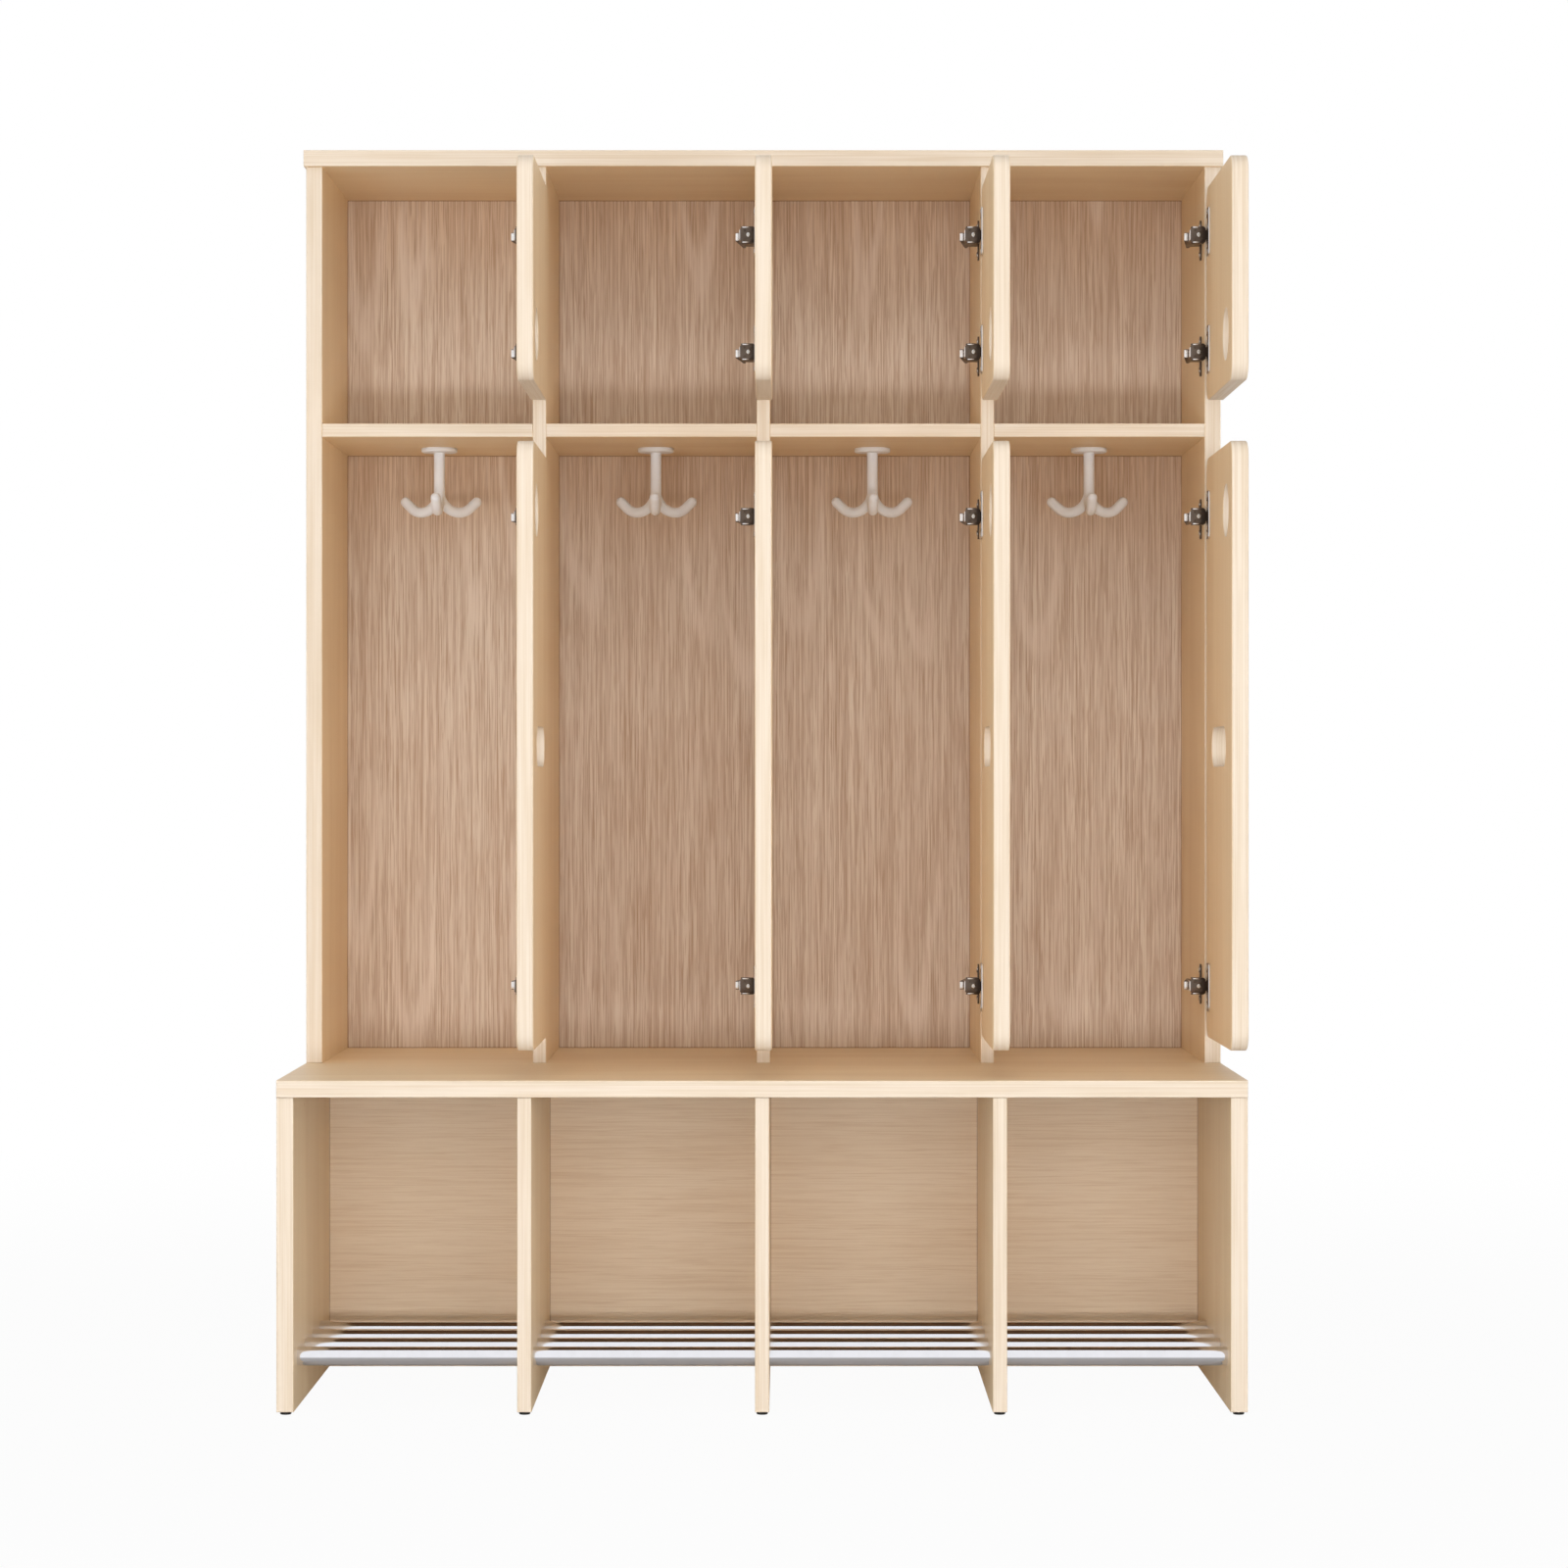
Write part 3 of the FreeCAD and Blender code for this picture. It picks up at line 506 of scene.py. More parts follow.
def prism(outline, low, high, axis, radius=0.0):
    """An outline pushed along an axis between two levels, with its edges rounded."""
    shell = bmesh.new()
    rings = [[shell.verts.new(spot_along(axis, *point, level)) for point in outline] for level in (low, high)]
    shell.faces.new(rings[0])
    shell.faces.new(rings[1])
    count = len(outline)
    for index in range(count):
        after = (index + 1) % count
        shell.faces.new((rings[0][index], rings[0][after], rings[1][after], rings[1][index]))
    bmesh.ops.recalc_face_normals(shell, faces=shell.faces)
    if radius:
        sharp = [edge for edge in shell.edges if edge.calc_face_angle(0) > math.radians(30)]
        bmesh.ops.bevel(shell, geom=sharp, offset=radius * MM, segments=2, profile=0.5, affect="EDGES",
                        clamp_overlap=True)
    return mesh_of(shell)


def block(x0, x1, y0, y1, z0, z1, radius=0.0):
    """A box between two corners, with rounded edges."""
    return prism([(x0, y0), (x1, y0), (x1, y1), (x0, y1)], z0, z1, "Z", radius)


def rounded(width, height, radius, steps=5):
    """Outline of a rectangle with round corners, about its middle."""
    points = []
    for quarter in range(4):
        side_x = 1 if quarter in (0, 3) else -1
        side_y = 1 if quarter in (0, 1) else -1
        for step in range(steps + 1):
            turn = math.radians(90 * (quarter + step / steps))
            points.append((side_x * (width / 2 - radius) + radius * math.cos(turn),
                           side_y * (height / 2 - radius) + radius * math.sin(turn)))
    return points


def lathe(profile, segments, axis="Z"):
    """A profile of radius and height pairs, turned round an axis. Ends on the axis are closed."""
    shell = bmesh.new()
    turns = [math.tau * step / segments for step in range(segments)]
    rings = []
    for radius, height in profile:
        ring = [(radius * math.cos(turn), radius * math.sin(turn)) for turn in (turns if radius else (0.0,))]
        rings.append([shell.verts.new(spot_along(axis, *point, height)) for point in ring])
    for first, second in zip(rings, rings[1:]):
        for step in range(segments):
            after = (step + 1) % segments
            around = [first[step % len(first)], first[after % len(first)],
                      second[after % len(second)], second[step % len(second)]]
            corners = list(dict.fromkeys(around))
            if len(corners) > 2:
                shell.faces.new(corners)
    bmesh.ops.remove_doubles(shell, verts=shell.verts, dist=0.001 * MM)
    return mesh_of(shell)


def moved(mesh, x=0.0, y=0.0, z=0.0, turn=None):
    """A copy of a mesh, turned and then shifted by millimetres."""
    copy = mesh.copy()
    place = Matrix.Translation(Vector((x, y, z)) * MM)
    copy.transform(place @ turn if turn else place)
    return copy


def cut(mesh, *cutters):
    """A mesh less some others."""
    target = new_object("target", mesh)
    tool = new_object("tool", merged(cutters))
    change = target.modifiers.new("Cut", "BOOLEAN")
    change.object = tool
    change.operation = "DIFFERENCE"
    change.solver = "EXACT"
    change.use_self = True
    result = bake_mesh(target)
    bpy.data.objects.remove(tool)
    return result


def shade(mesh, angle=35):
    """Smooth shading except over sharp edges."""
    shell = bmesh.new()
    shell.from_mesh(mesh)
    for face in shell.faces:
        face.smooth = True
    for edge in shell.edges:
        edge.smooth = edge.calc_face_angle(0) < math.radians(angle)
    shell.to_mesh(mesh)
    shell.free()
    return mesh


# Copies of a piece in rows and columns
COPY_INPUTS = (
    ("Start", "NodeSocketVector"),
    ("Column step", "NodeSocketVector"),
    ("Columns", "NodeSocketInt"),
    ("Row step", "NodeSocketVector"),
    ("Rows", "NodeSocketInt"),
    ("Material", "NodeSocketMaterial"),
)


def copies_tree():
    """The tree that sets copies of a piece in rows and columns."""
    name = "Copies in rows and columns"
    if name in bpy.data.node_groups:
        return bpy.data.node_groups[name]
    group = bpy.data.node_groups.new(name, "GeometryNodeTree")
    group.interface.new_socket("Piece", in_out="INPUT", socket_type="NodeSocketGeometry")
    for label, kind in COPY_INPUTS:
        group.interface.new_socket(label, in_out="INPUT", socket_type=kind)
    group.interface.new_socket("Copies", in_out="OUTPUT", socket_type="NodeSocketGeometry")
    tree = Tree(group)
    entry = group.nodes.new("NodeGroupInput")
    given = {socket.name: Socket(tree, socket) for socket in entry.outputs}

    def line(count, start, step):
        return tree.add("GeometryNodeMeshLine", {"mode": "OFFSET"}, Count=count, Start_Location=start, Offset=step)

    rows = line(given["Rows"], (0, 0, 0), given["Row step"])
    columns = line(given["Columns"], given["Start"], given["Column step"])
    column = tree.add("GeometryNodeInstanceOnPoints", None, Points=rows, Instance=given["Piece"])
    copies = tree.add("GeometryNodeInstanceOnPoints", None, Points=columns, Instance=column)
    real = tree.add("GeometryNodeRealizeInstances", None, copies)
    tinted = tree.add("GeometryNodeSetMaterial", None, real, Material=given["Material"])
    leave = group.nodes.new("NodeGroupOutput")
    tree.feed(leave.inputs[0], tinted)
    return group


def copies(mesh, finish, start, column_step=(0, 0, 0), columns=1, row_step=(0, 0, 0), rows=1):
    """Bake a grid of copies of a mesh. Places are in metres."""
    holder = new_object("copies", mesh)
    change = holder.modifiers.new("Copies", "NODES")
    change.node_group = copies_tree()
    values = dict(zip((label for label, kind in COPY_INPUTS), (start, column_step, columns, row_step, rows, finish)))
    for item in change.node_group.interface.items_tree:
        if item.in_out == "INPUT" and item.name in values:
            value = values[item.name]
            single = isinstance(value, (int, bpy.types.Material))
            change[item.identifier] = value if single else tuple(map(float, value))
    return bake_mesh(holder)


def finished(name, meshes, body, finish, slot, *nodes, angle=35):
    """Join baked meshes to one piece, which rides on a body and stands for CAD nodes."""
    mesh = shade(merged(meshes, name), angle)
    mesh.materials.clear()
    mesh.materials.append(finish)
    piece = new_object(name, mesh)
    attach(piece, body)
    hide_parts(*nodes)


def dress(node, finish):
    """Give a CAD node its material."""
    mesh = frame["nodes"][node].data
    mesh.materials.clear()
    mesh.materials.append(finish)


def board(node, stack, grain, seed, sealed=False):
    """Give a CAD node the look of a board, with a figure of its own for each seed."""
    dress(node, board_material(node + "_wood", stack, grain, seed, sealed))


def joint_of(row, column):
    """The hinge joint of one door."""
    child = "%s_door_%d" % (row, column)
    for joint in frame["joints"]:
        if joint["child"] == child:
            return joint
    raise RuntimeError("no joint for " + child)


def hinge_copies(row, mesh, finish, x, y, step=(0, 0, 0), columns=1):
    """Copies of a mesh at the heights of a row's two hinges."""
    half = bpy.context.scene.cloakroom_hinge.wing_length / 2
    low, high = [corner.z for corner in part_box("hinge_cups_%s_1" % row)]
    return copies(mesh.copy(), finish, (x, y, low + half), step, columns, (0, 0, high - half - (low + half)), 2)


# Screws
def cross(width, reach, depth, top):
    """Two crossed bars that sink a driver's recess below a level."""
    return [block(-x / 2, x / 2, -y / 2, y / 2, top - depth, top + depth)
            for x, y in ((reach, width), (width, reach))]


def pan_screw(kind):
    """A screw with a domed head, its seat at zero and its head along +Z."""
    diameter, height, shank, length_below = SCREWS[kind]
    radius = diameter / 2
    steps = 5
    profile = [(0, -length_below), (shank / 2, -length_below), (shank / 2, 0), (radius, 0)]
    for step in range(steps + 1):
        turn = math.radians(90 * step / steps)
        profile.append((radius * (0.55 + 0.45 * math.cos(turn)), height * (0.35 + 0.65 * math.sin(turn))))
    profile.append((0, height))
    return cut(lathe(profile, 24), *cross(diameter * 0.13, diameter * 0.56, height * 0.6, height))


TO_LEFT = Matrix.Rotation(math.radians(-90), 4, "Y")
TO_FRONT = Matrix.Rotation(math.radians(90), 4, "X")


# Hinges
def band(side, outer, inner):
    """The levels at two distances from the middle, on one side of it, the lower one first."""
    return sorted((side * outer, side * inner))


def roof(back):
    """How far the channel's sloping roof is from the hinge axis, at a distance behind the axis."""
    sizes = millimetres("cloakroom_hinge")
    share = (back - sizes.channel_front) / (sizes.channel_rear - sizes.channel_front)
    return sizes.crest - sizes.fall * share


def hinge_arm():
    """The fixed arm: its neck, riser and channel, to be darkened as painted shade, and its tab, riser side and trims,
    left bright as painted highlights.
    """
    sizes = millimetres("cloakroom_hinge")
    thick = sizes.neck_thickness
    reach = sizes.neck_reach
    high = sizes.neck_height / 2
    rise = sizes.riser_height / 2
    chan = sizes.channel_height / 2
    crest = sizes.crest
    front = sizes.channel_front
    rear = sizes.channel_rear
    upper = [(0.0, 3.2), (-4.3, 3.2), (-6.3, 5.2), (-11.0, 5.2), (-11.0, high - 2.2), (-13.2, high),
             (-reach + 3.2, high), (-reach, high - 3.2)]
    dark = [prism(upper + [(x, -z) for x, z in reversed(upper)], -thick / 2, thick / 2, "Y", 0.5)]
    dark.append(lathe([(0, -3.4), (2.1, -3.4), (2.2, -3.2), (2.2, 3.2), (2.1, 3.4), (0, 3.4)], 24))
    dark.append(block(-reach, -reach + thick, -thick / 2 + 0.6, front + thick, -rise, rise, 0.4))
    dark.append(block(-crest, -reach + thick, front, front + thick, -chan, chan, 0.6))
    slope = [(-crest, front), (-roof(rear), rear), (-roof(rear) + SHEET, rear), (-crest + SHEET, front)]
    dark.append(prism(slope, -chan, chan, "Z", 0.3))
    bright = [block(-crest - 0.1, -reach - 1.4, front - 0.5, front + 1, -4.2, 4.2, 0.4)]
    bright.append(block(-reach - 0.6, -reach + 1, -thick / 2 + 0.3, front + 1, -rise + 0.4, rise - 0.4, 0.25))
    cheek = [(-crest, front), (-crest + 12, front), (-crest + 12, rear - 20), (-roof(rear) + 3, rear),
             (-roof(rear), rear)]
    web = [(-reach + 1, 0), (-13, 0), (-13, 5.5), (-17, 8), (-reach + 1, 8)]
    rivet = lathe([(0, 0), (1.4, 0), (1.4, 0.5), (1.1, 0.9), (0, 1.0)], 16)
    for side in (-1, 1):
        dark.append(prism(cheek, *band(side, chan, chan - SHEET), "Z", 0.35))
        dark.append(prism(web, *band(side, high, high - SHEET), "Z", 0.35))
        trim = band(side, high - 0.6, high - 1.7)
        bright.append(block(-reach + 2.8, -17.5, -thick / 2 - 0.35, -thick / 2 + 0.4, *trim, 0.15))
        for place in (5.0, 12.5):
            dark.append(moved(rivet, -reach + place, -thick / 2, side * (high - 4.4), TO_FRONT))
    return merged(dark), merged(bright)


def mounting_plate():
    """The cross-shaped plate on the wall, its face on the wall at X zero."""
    centre = millimetres("cloakroom_hinge").plate_centre
    wing = [(centre + y, z) for y, z in rounded(10, 45, 4)]
    boss = [(centre + y, z) for y, z in rounded(36, 9.2, 1.5)]
    return merged([prism(wing, -PLATE_THICKNESS, 0, "X", 0.5), prism(boss, -12, -0.2, "X", 0.6)])


def hinge_cup():
    """Cup, flange with the cup's rim, and the two ears that hold the pin."""
    sizes = millimetres("cloakroom_hinge")
    radius = sizes.cup_diameter / 2
    depth = sizes.cup_depth
    wall = sizes.cup_wall
    face = -sizes.face_offset
    centre = -sizes.cup_offset
    thick = sizes.wing_thickness
    inner = radius - wall
    outside = [(inner, -0.1), (radius - 0.1, -0.1), (radius, 0.3), (radius, depth - 1), (radius - 1, depth),
               (0, depth)]
    inside = [(0, depth - wall), (inner - 1.4, depth - wall), (inner, depth - wall - 1.4), (inner, -0.1)]
    shell = moved(lathe(outside + inside, 64, "X"), face, centre)
    outline = rounded(sizes.wing_width, sizes.wing_length, 5)
    wing = prism([(centre - sizes.wing_width / 2 + y, z) for y, z in outline], face - thick, face - 0.02, "X", 0.4)
    rim = [(0, -thick), (radius + 0.6, -thick), (radius + 1, -thick + 0.4), (radius + 1, -0.02), (0, -0.02)]
    ring = moved(lathe(rim, 64, "X"), face, centre)
    hole = moved(lathe([(0, -5), (inner, -5), (inner, 5), (0, 5)], 64, "X"), face, centre)
    flange = [cut(wing, hole), cut(trim_behind(ring, centre), hole)]
    ear = [(face + 1, -2.4), (depth + face - wall, -2.4), (depth + face - wall, 2.2), (face + 1, 2.2)]
    half = sizes.pin_length / 2
    ears = [prism(ear, *band(side, half, half - 3.5), "Z", 0.4) for side in (-1, 1)]
    return merged([shell] + flange + ears)


def trim_behind(ring, centre):
    """The part of the rim that lies over the flange, in front of the cup's middle."""
    reach = 60
    return cut(ring, block(-reach, reach, centre - 2, reach, -reach, reach))


def hinge_pin():
    """The pin with rounded ends."""
    sizes = millimetres("cloakroom_hinge")
    radius = sizes.pin_diameter / 2
    half = sizes.pin_length / 2
    top = [(radius, half - 0.2), (radius - 0.2, half), (0, half)]
    return lathe([(x, -z) for x, z in reversed(top)] + top, 20)


class CLOAKROOM_OT_boards(bpy.types.Operator):
    """Finish the boards, shelves and back panels"""
    bl_idname = "cloakroom.boards"
    bl_label = "Boards"

    def execute(self, context):
        upright = ["left_side", "right_side", "left_leg", "right_leg"]
        upright += [row + "_divider_%d" % index for row in ROWS for index in range(1, PLACES)]
        level = ["top_board", "bench_seat"] + ["shelf_%d" % column for column in COLUMNS]
        for index, node in enumerate(upright):
            board(node, "X", "Z", 1.0 + 2.3 * index)
        for index, node in enumerate(level):
            board(node, "Z", "X", 31.0 + 1.9 * index, node == "bench_seat")
        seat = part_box("bench_seat")
        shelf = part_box("shelf_1")
        heights = (seat[1].z, shelf[0].z, shelf[1].z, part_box("top_board")[0].z)
        dress("upper_back_panel", upper_back_material("upper_back_veneer", heights))
        low = lower_back_material("lower_back_veneer", (seat[0].z,))
        for column in COLUMNS:
            dress("lower_back_%d" % column, low)
        return {"FINISHED"}


class CLOAKROOM_OT_doors(bpy.types.Operator):
    """Finish the doors"""
    bl_idname = "cloakroom.doors"
    bl_label = "Doors"

    def execute(self, context):
        for row, start in (("upper", 71.0), ("lower", 60.0)):
            for column in COLUMNS:
                board("door_%s_%d" % (row, column), "X", "Z", start + 3.7 * column)
        return {"FINISHED"}


class CLOAKROOM_OT_rods(bpy.types.Operator):
    """Make the chrome shoe rods"""
    bl_idname = "cloakroom.rods"
    bl_label = "Shoe rods"

    def execute(self, context):
        base = context.scene.cloakroom_colours.chrome
        chrome = metal_material("rod_chrome", base, 0.04, (2.0, 60.0, 60.0), 0.05, 0.0)
        for index in COLUMNS:
            node = "shoe_rod_%d" % index
            low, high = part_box(node)
            radius = (high.z - low.z) / 2 / MM
            half = (high.x - low.x) / 2 / MM
            bore = radius - ROD_WALL
            rim = radius - ROD_BEVEL
            profile = [(bore, -half), (rim, -half), (radius, -half + ROD_BEVEL), (radius, half - ROD_BEVEL),
                       (rim, half), (bore, half), (bore, -half)]
            tube = moved(lathe(profile, 96, "X"), *(middle(node) / MM))
            finished(node.replace("shoe_rod", "rod_tube"), [tube], "cabinet", chrome, "rod_chrome", node)
        return {"FINISHED"}


class CLOAKROOM_OT_hooks(bpy.types.Operator):
    """Make the three-armed coat hooks"""
    bl_idname = "cloakroom.hooks"
    bl_label = "Coat hooks"

    def execute(self, context):
        colours = context.scene.cloakroom_colours
        sizes = millimetres("cloakroom_hook")
        plastic = plastic_material("hook_plastic", colours.plastic, 0.5, 900.0)
        dress("hook_screws", plastic_material("hook_screw_paint", colours.plastic, 0.4, 500.0))
        screws = middle("hook_screws")
        one = self.hook(sizes)
        for column in COLUMNS:
            node = "coat_hook_%d" % column
            place = (middle(node).x, screws.y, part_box(node)[1].z)
            finished(node.replace("coat_hook", "hook_body"), [copies(one.copy(), plastic, place)], "cabinet", plastic,
                     "hook_plastic", node, angle=50)
        return {"FINISHED"}

    def arm_line(self, sizes, low):
        """Reach and height along the middle of an arm, from inside the stem to the tip."""
        inner = sizes.inner_bend
        outer = sizes.outer_bend
        tip = sizes.tip_length
        angle = bpy.context.scene.cloakroom_hook.tip_angle
        points = [(0.0, low + inner + 6)]
        for step in range(13):
            bend = math.pi / 2 * step / 12
            points.append((inner * (1 - math.cos(bend)), low + inner * (1 - math.sin(bend))))
        for step in range(1, 9):
            bend = angle * step / 8
            points.append((inner + outer * math.sin(bend), low + outer * (1 - math.cos(bend))))
        last = points[-1]
        points.append((last[0] + tip * math.cos(angle), last[1] + tip * math.sin(angle)))
        return points

    def arms(self, points, turns, radius):
        """Round tubes along the arms, and a ball at every tip."""
        curve = bpy.data.curves.new("arms", "CURVE")
        curve.dimensions = "3D"
        curve.bevel_depth = radius * MM
        curve.bevel_resolution = 8
        curve.use_fill_caps = True
        ball = [(0 if step in (0, 12) else radius * math.sin(math.pi * step / 12),
                 -radius * math.cos(math.pi * step / 12)) for step in range(13)]
        tip, height = points[-1]
        balls = []
        for turn in turns:
            spline = curve.splines.new("POLY")
            spline.points.add(len(points) - 1)
            for point, (reach, level) in zip(spline.points, points):
                point.co = (reach * math.cos(turn) * MM, reach * math.sin(turn) * MM, level * MM, 1)
            balls.append(moved(lathe(ball, 24), tip * math.cos(turn), tip * math.sin(turn), height))
        return bake_mesh(new_object("arms", curve)), balls

    def hook(self, sizes):
        """One hook below the origin, with arms that flow out of the stem."""
        stem = sizes.stem_diameter / 2
        arm = sizes.arm_diameter / 2
        low = -sizes.drop + arm
        count = bpy.context.scene.cloakroom_hook.arms
        turns = [math.tau * index / count - math.pi / 2 for index in range(count)]
        swell = 0.35  # what softening takes off again
        tubes, balls = self.arms(self.arm_line(sizes, low), turns, arm + swell)
        root = low + sizes.inner_bend - 4
        post = lathe([(0, root), (stem + 0.2, root), (stem + 0.2, -3), (0, -3)], 40)
        body = new_object("hook", merged([tubes, post] + balls))
        remesh = body.modifiers.new("Join", "REMESH")
        remesh.mode = "VOXEL"
        remesh.voxel_size = 0.9 * MM
        soft = body.modifiers.new("Soften", "SMOOTH")
        soft.factor = 0.5
        soft.iterations = 18
        flange = sizes.flange_diameter / 2
        thick = sizes.flange_thickness
        rim = [(0, 0), (flange - 0.6, 0), (flange - 0.2, -0.2), (flange, -0.6)]
        for step in range(7):
            bend = math.pi / 2 * step / 6
            rim.append((flange - 1.5 + 1.5 * math.cos(bend), -(thick - 1.5) - 1.5 * math.sin(bend)))
        rim += [(stem + 1.2, -thick), (stem + 0.3, -thick - 0.4), (stem - 0.2, -thick - 1.2), (0, -thick - 1.2)]
        return merged([bake_mesh(body), lathe(rim, 96)])


class CLOAKROOM_OT_hinges(bpy.types.Operator):
    """Make the concealed hinges, their plates and screws"""
    bl_idname = "cloakroom.hinges"
    bl_label = "Hinges"

    def execute(self, context):
        colours = context.scene.cloakroom_colours
        sizes = millimetres("cloakroom_hinge")
        nickel = metal_material("hinge_nickel", colours.nickel, 0.2, (40.0, 500.0, 500.0), 0.12)
        # Painted shade: a darkened copy of the cups' nickel for the arms and plates
        links = metal_material("hinge_dark_nickel", colours.links, 0.3, (300.0, 300.0, 60.0), 0.3)
        steel = metal_material("hinge_screw_steel", colours.steel, 0.2, (300.0, 300.0, 300.0), 0.1)
        # Painted shade: the cups' faces that look sideways take the darkened nickel
        cups = metal_material("cup_nickel", colours.nickel, 0.2, (40.0, 500.0, 500.0), 0.12, shaded_sides=colours.links)
        self.walls(sizes, nickel, links, steel)
        self.doors(sizes, cups, steel)
        return {"FINISHED"}

    def walls(self, sizes, nickel, links, steel):
        """Arms, plates and their screws, which stay on the walls: one piece of each kind for all doors."""
        arm, tab = hinge_arm()
        centre = sizes.plate_centre
        neck = moved(pan_screw("neck"), NECK_SCREW_X, -sizes.neck_thickness / 2, 0, TO_FRONT)
        adjusting = [moved(pan_screw("adjusting"), ADJUSTER_SINK - roof(centre + offset), centre + offset, 0, TO_LEFT)
                     for offset in (-ADJUSTER_OFFSET, ADJUSTER_OFFSET)]
        fixing = [moved(pan_screw("plate"), -PLATE_THICKNESS, centre, offset, TO_LEFT)
                  for offset in (-PLATE_SCREW_OFFSET, PLATE_SCREW_OFFSET)]
        first, last = [joint_of("upper", column)["pos_m"] for column in (1, PLACES)]
        axes = (first[0], last[0])
        walls = (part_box("upper_divider_1")[0].x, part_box("right_side")[0].x)
        kinds = (
            # Painted shade and highlights: arms and plates take the darkened nickel, the tab set keeps the bright
            # nickel
            ("arm_set", arm, links, axes, "hinge_nickel", "hinge_arms"),
            ("tab_set", tab, nickel, axes, "hinge_nickel", "hinge_arms"),
            ("plate_set", mounting_plate(), links, walls, "hinge_nickel", "hinge_plates"),
            ("plate_screw_set", merged(fixing), steel, walls, "screw_steel", "hinge_plate_screws"),
            ("adjuster_set", merged([neck] + adjusting), steel, axes, "screw_steel", "hinge_adjusters"),
        )
        for name, mesh, finish, (start, end), slot, node in kinds:
            step = ((end - start) / (PLACES - 1), 0, 0)
            grids = [hinge_copies(row, mesh, finish, start, first[1], step, PLACES) for row in ROWS]
            finished(name, grids, "cabinet", finish, slot, node)

    def doors(self, sizes, nickel, steel):
        """Cups, pins and wing screws, one piece of each for every door."""
        cup = hinge_cup()
        face = -(sizes.face_offset + sizes.wing_thickness)
        centre = -sizes.cup_offset - sizes.screw_setback
        wing_screw = pan_screw("wing")
        offset = sizes.screw_offset
        fixings = merged([hinge_pin()] + [moved(wing_screw, face, centre, side * offset, TO_LEFT) for side in (-1, 1)])
        for row in ROWS:
            for column in COLUMNS:
                joint = joint_of(row, column)
                x, y = joint["pos_m"][:2]
                key = "%s_%d" % (row, column)
                finished("cup_" + key, [hinge_copies(row, cup, nickel, x, y)], joint["child"], nickel,
                         "hinge_nickel", "hinge_cups_" + key)
                finished("cup_fixings_" + key, [hinge_copies(row, fixings, steel, x, y)], joint["child"], steel,
                         "screw_steel", "hinge_pins_screws_" + key)


class CLOAKROOM_OT_feet(bpy.types.Operator):
    """Make the black feet and finish the locking barrels"""
    bl_idname = "cloakroom.feet"
    bl_label = "Feet and barrels"

    def execute(self, context):
        colours = context.scene.cloakroom_colours
        black = plastic_material("foot_plastic", colours.rubber, 0.42, 700.0)
        low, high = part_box("feet")
        rim = [(0, 0)]
        for turn in (math.radians(15 * step) for step in range(7)):
            rim.append((FOOT_RADIUS - 1 + math.sin(turn), 1 - math.cos(turn)))
        rim += [(FOOT_RADIUS, FOOT_HEIGHT - 0.3), (FOOT_RADIUS - 0.3, FOOT_HEIGHT), (0, FOOT_HEIGHT)]
        foot = lathe(rim, 40)
        front = low.y + FOOT_RADIUS * MM
        rear = (0, high.y - low.y - 2 * FOOT_RADIUS * MM, 0)
        meshes = []
        for nodes in (["lower_divider_%d" % index for index in range(1, PLACES)], ["left_leg", "right_leg"]):
            start, end = middle(nodes[0]).x, middle(nodes[-1]).x
            step = ((end - start) / (len(nodes) - 1), 0, 0)
            meshes.append(copies(foot.copy(), black, (start, front, 0), step, len(nodes), rear, 2))
        finished("foot_set", meshes, "cabinet", black, "foot_plastic", "feet")
        dress("lock_fittings", plastic_material("lock_cap_plastic", colours.cap, 0.45, 700.0))
        return {"FINISHED"}


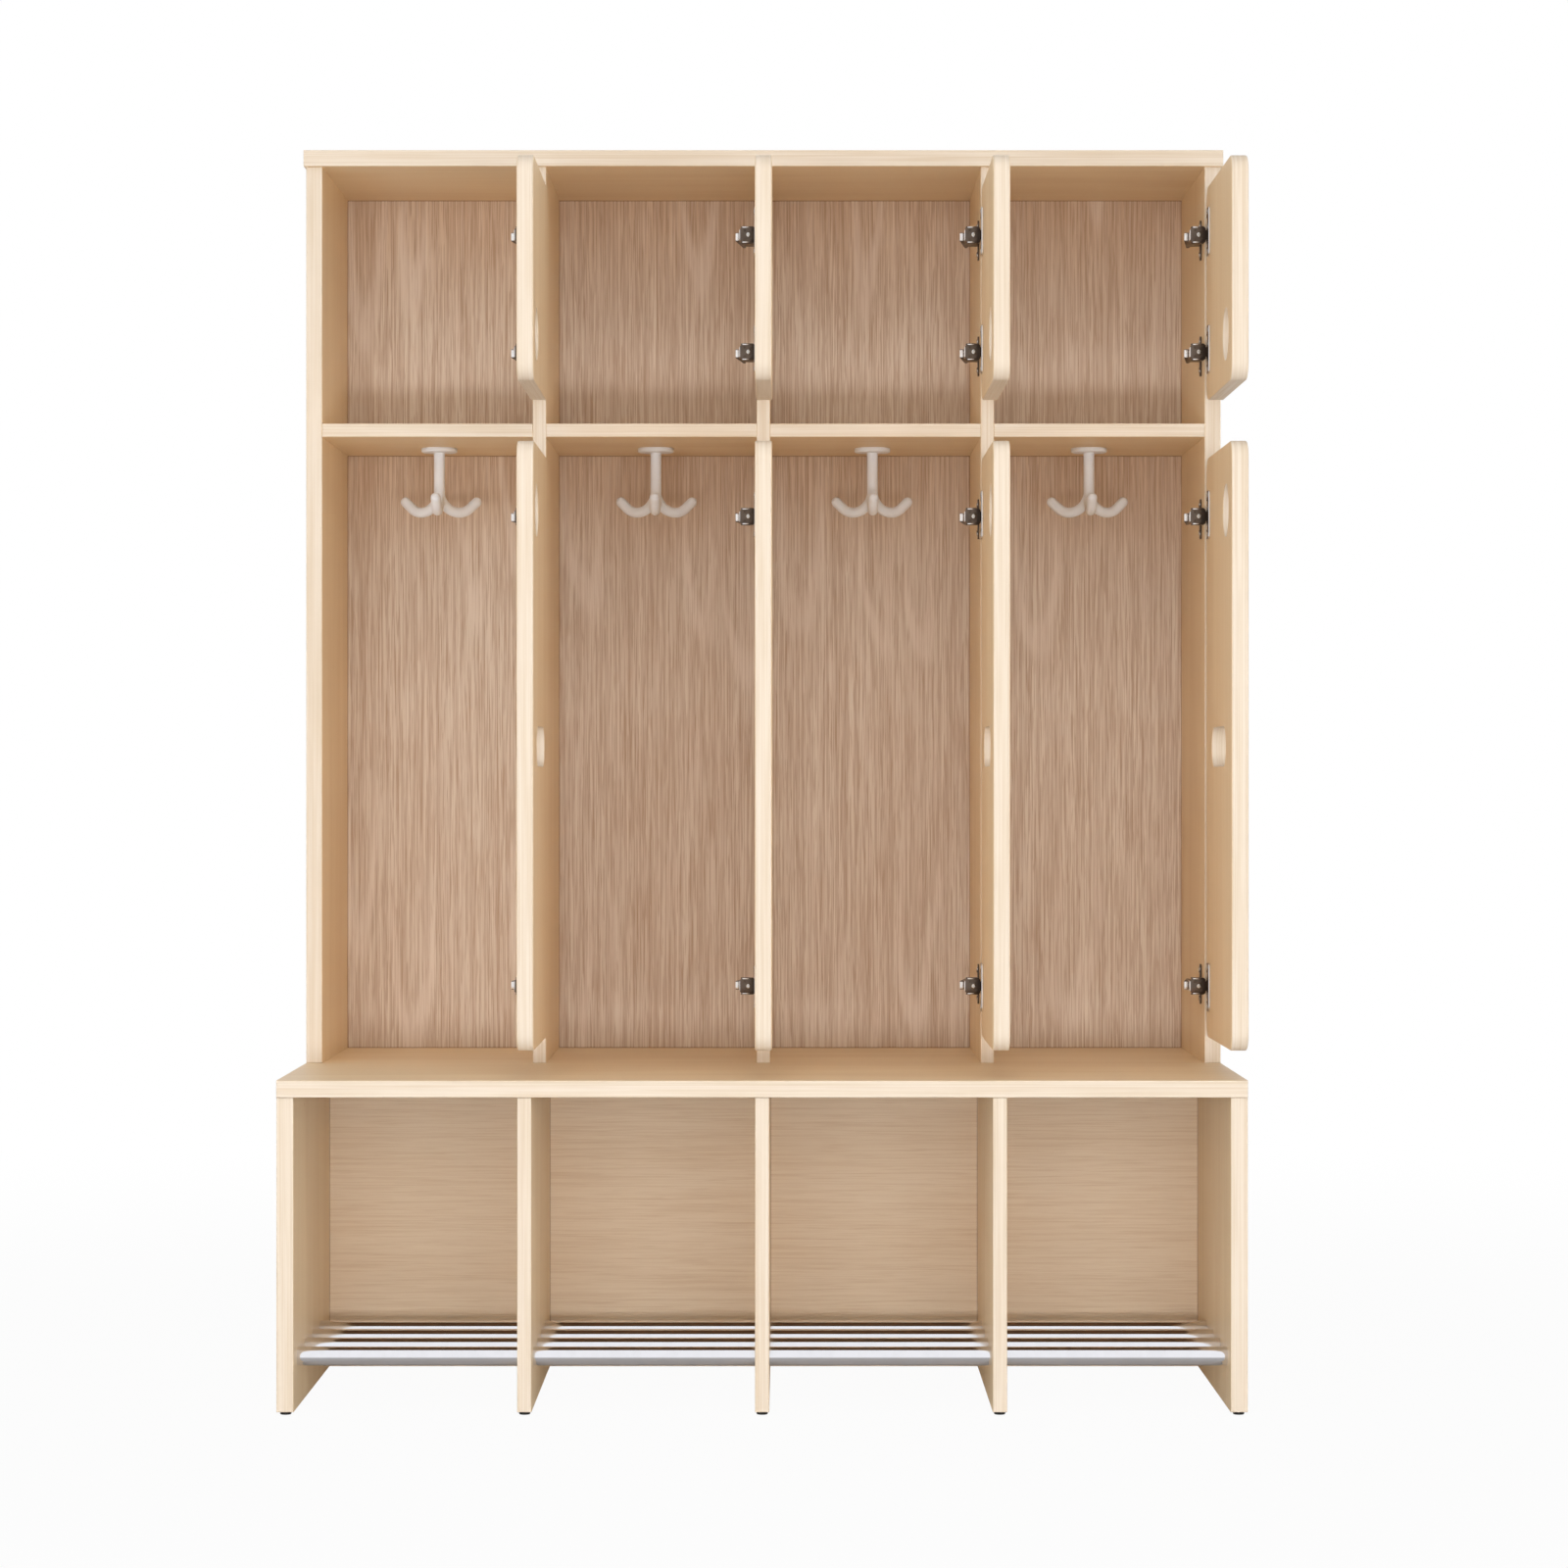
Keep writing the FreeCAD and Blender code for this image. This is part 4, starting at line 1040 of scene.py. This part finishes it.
class CLOAKROOM_OT_stage(bpy.types.Operator):
    """Set the floor, the light and the camera"""
    bl_idname = "cloakroom.stage"
    bl_label = "Floor, light and camera"

    def execute(self, context):
        scene = context.scene
        studio = scene.cloakroom_studio
        scene.view_settings.view_transform = "Standard"
        self.world(scene, studio)
        self.floor(scene)
        lamps = (  # name, place, target, width, height, power
            ("front_light", (0.1, -5.4, 1.15), (0, 0, 0.65), 4.0, 2.2, studio.key),
            ("top_light", (0, -3.0, 4.4), (0, -0.2, 0.3), 3.6, 3.0, studio.top),
            ("low_light", (0, -3.4, 0.2), (0, 0, 0.25), 5.0, 0.3, studio.low),
            ("left_light", (-3.6, -3.6, 0.65), (0, 0, 0.35), 2.4, 1.3, studio.side),
            ("right_light", (3.6, -3.6, 0.65), (0, 0, 0.35), 2.4, 1.3, studio.side),
        )
        for values in lamps:
            self.lamp(*values)
        camera = bpy.data.objects.new("camera", bpy.data.cameras.new("camera"))
        scene.collection.objects.link(camera)
        camera.data.sensor_width = 36
        camera.data.lens = studio.lens
        camera.location = studio.camera
        camera.rotation_euler = (math.pi / 2, 0, 0)
        scene.camera = camera
        return {"FINISHED"}

    def world(self, scene, studio):
        """White to the camera and to mirrors, softer to everything else."""
        world = bpy.data.worlds.new("studio")
        world.use_nodes = True
        world.node_tree.nodes.clear()
        tree = Tree(world.node_tree)
        seen = self.seen(tree)
        strength = studio.sky + seen * (1 - studio.sky)
        light = tree.add("ShaderNodeBackground", None, (1, 1, 1, 1), strength)
        tree.add("ShaderNodeOutputWorld", None, light)
        scene.world = world

    def seen(self, tree, *rays):
        """1 for the named rays: those of the camera, of mirrors and through glass, unless others are named."""
        path = tree.add("ShaderNodeLightPath").socket.node.outputs
        total = 0.0
        for name in rays or ("Is Camera Ray", "Is Glossy Ray", "Is Transmission Ray"):
            ray = Socket(tree, path[name])
            total = ray.math("MAXIMUM", ray, total)
        return total

    def floor(self, scene):
        """A wide floor, almost white to the camera where it keeps the unit's shadow, and wholly white farther off."""
        mesh = block(-30000, 30000, -30000, 30000, -20, 0)
        made = bpy.data.materials.new("floor")
        made.use_nodes = True
        made.node_tree.nodes.clear()
        tree = Tree(made.node_tree)
        ground = tree.add("ShaderNodeBsdfDiffuse", None, scene.cloakroom_colours.floor)
        glow = tree.add("ShaderNodeEmission", None, (1, 1, 1, 1), 1.0)
        x, y, z = tree.split(tree.place())
        far = ((x * x + y * y) ** 0.5).step(0.8, 3.0)
        ahead = (0 - y).step(0.26, 0.75)
        mirror = self.seen(tree, "Is Glossy Ray", "Is Transmission Ray") * far.math("MAXIMUM", far, ahead)
        camera = self.seen(tree, "Is Camera Ray") * (far * 0.045 + 0.955)
        share = mirror.math("MAXIMUM", mirror, camera)
        mixed = tree.add("ShaderNodeMixShader", None, share, ground, glow)
        tree.add("ShaderNodeOutputMaterial", None, mixed)
        mesh.materials.append(made)
        new_object("floor", mesh)

    def lamp(self, name, place, target, width, height, power):
        """A flat lamp, itself out of sight in mirrors."""
        data = bpy.data.lights.new(name, "AREA")
        data.shape = "RECTANGLE"
        data.size = width
        data.size_y = height
        data.energy = power
        lamp = bpy.data.objects.new(name, data)
        bpy.context.scene.collection.objects.link(lamp)
        lamp.visible_glossy = False
        lamp.location = place
        lamp.rotation_euler = (Vector(target) - Vector(place)).to_track_quat("-Z", "Y").to_euler()


PIECES = (CLOAKROOM_OT_boards, CLOAKROOM_OT_doors, CLOAKROOM_OT_rods, CLOAKROOM_OT_hooks, CLOAKROOM_OT_hinges,
          CLOAKROOM_OT_feet, CLOAKROOM_OT_stage)


class CLOAKROOM_PT_panel(bpy.types.Panel):
    """Sizes, colours and pieces of the cloakroom unit"""
    bl_label = "Cloakroom unit"
    bl_idname = "CLOAKROOM_PT_panel"
    bl_space_type = "VIEW_3D"
    bl_region_type = "UI"
    bl_category = "Cloakroom"

    def draw(self, context):
        column = self.layout.column()
        for piece in PIECES:
            column.operator(piece.bl_idname)
        for name in GROUPS:
            group = getattr(context.scene, name)
            box = self.layout.box()
            for key in group.__annotations__:
                box.prop(group, key)


CLASSES = tuple(GROUPS.values()) + PIECES + (CLOAKROOM_PT_panel,)


def register():
    for item in CLASSES:
        bpy.utils.register_class(item)
    for name, group in GROUPS.items():
        setattr(bpy.types.Scene, name, PointerProperty(type=group))


def unregister():
    for name in GROUPS:
        delattr(bpy.types.Scene, name)
    for item in reversed(CLASSES):
        bpy.utils.unregister_class(item)


def main():
    register()
    for piece in PIECES:
        getattr(bpy.ops.cloakroom, piece.bl_idname.split(".")[1])()


if __name__ == "__main__":
    main()
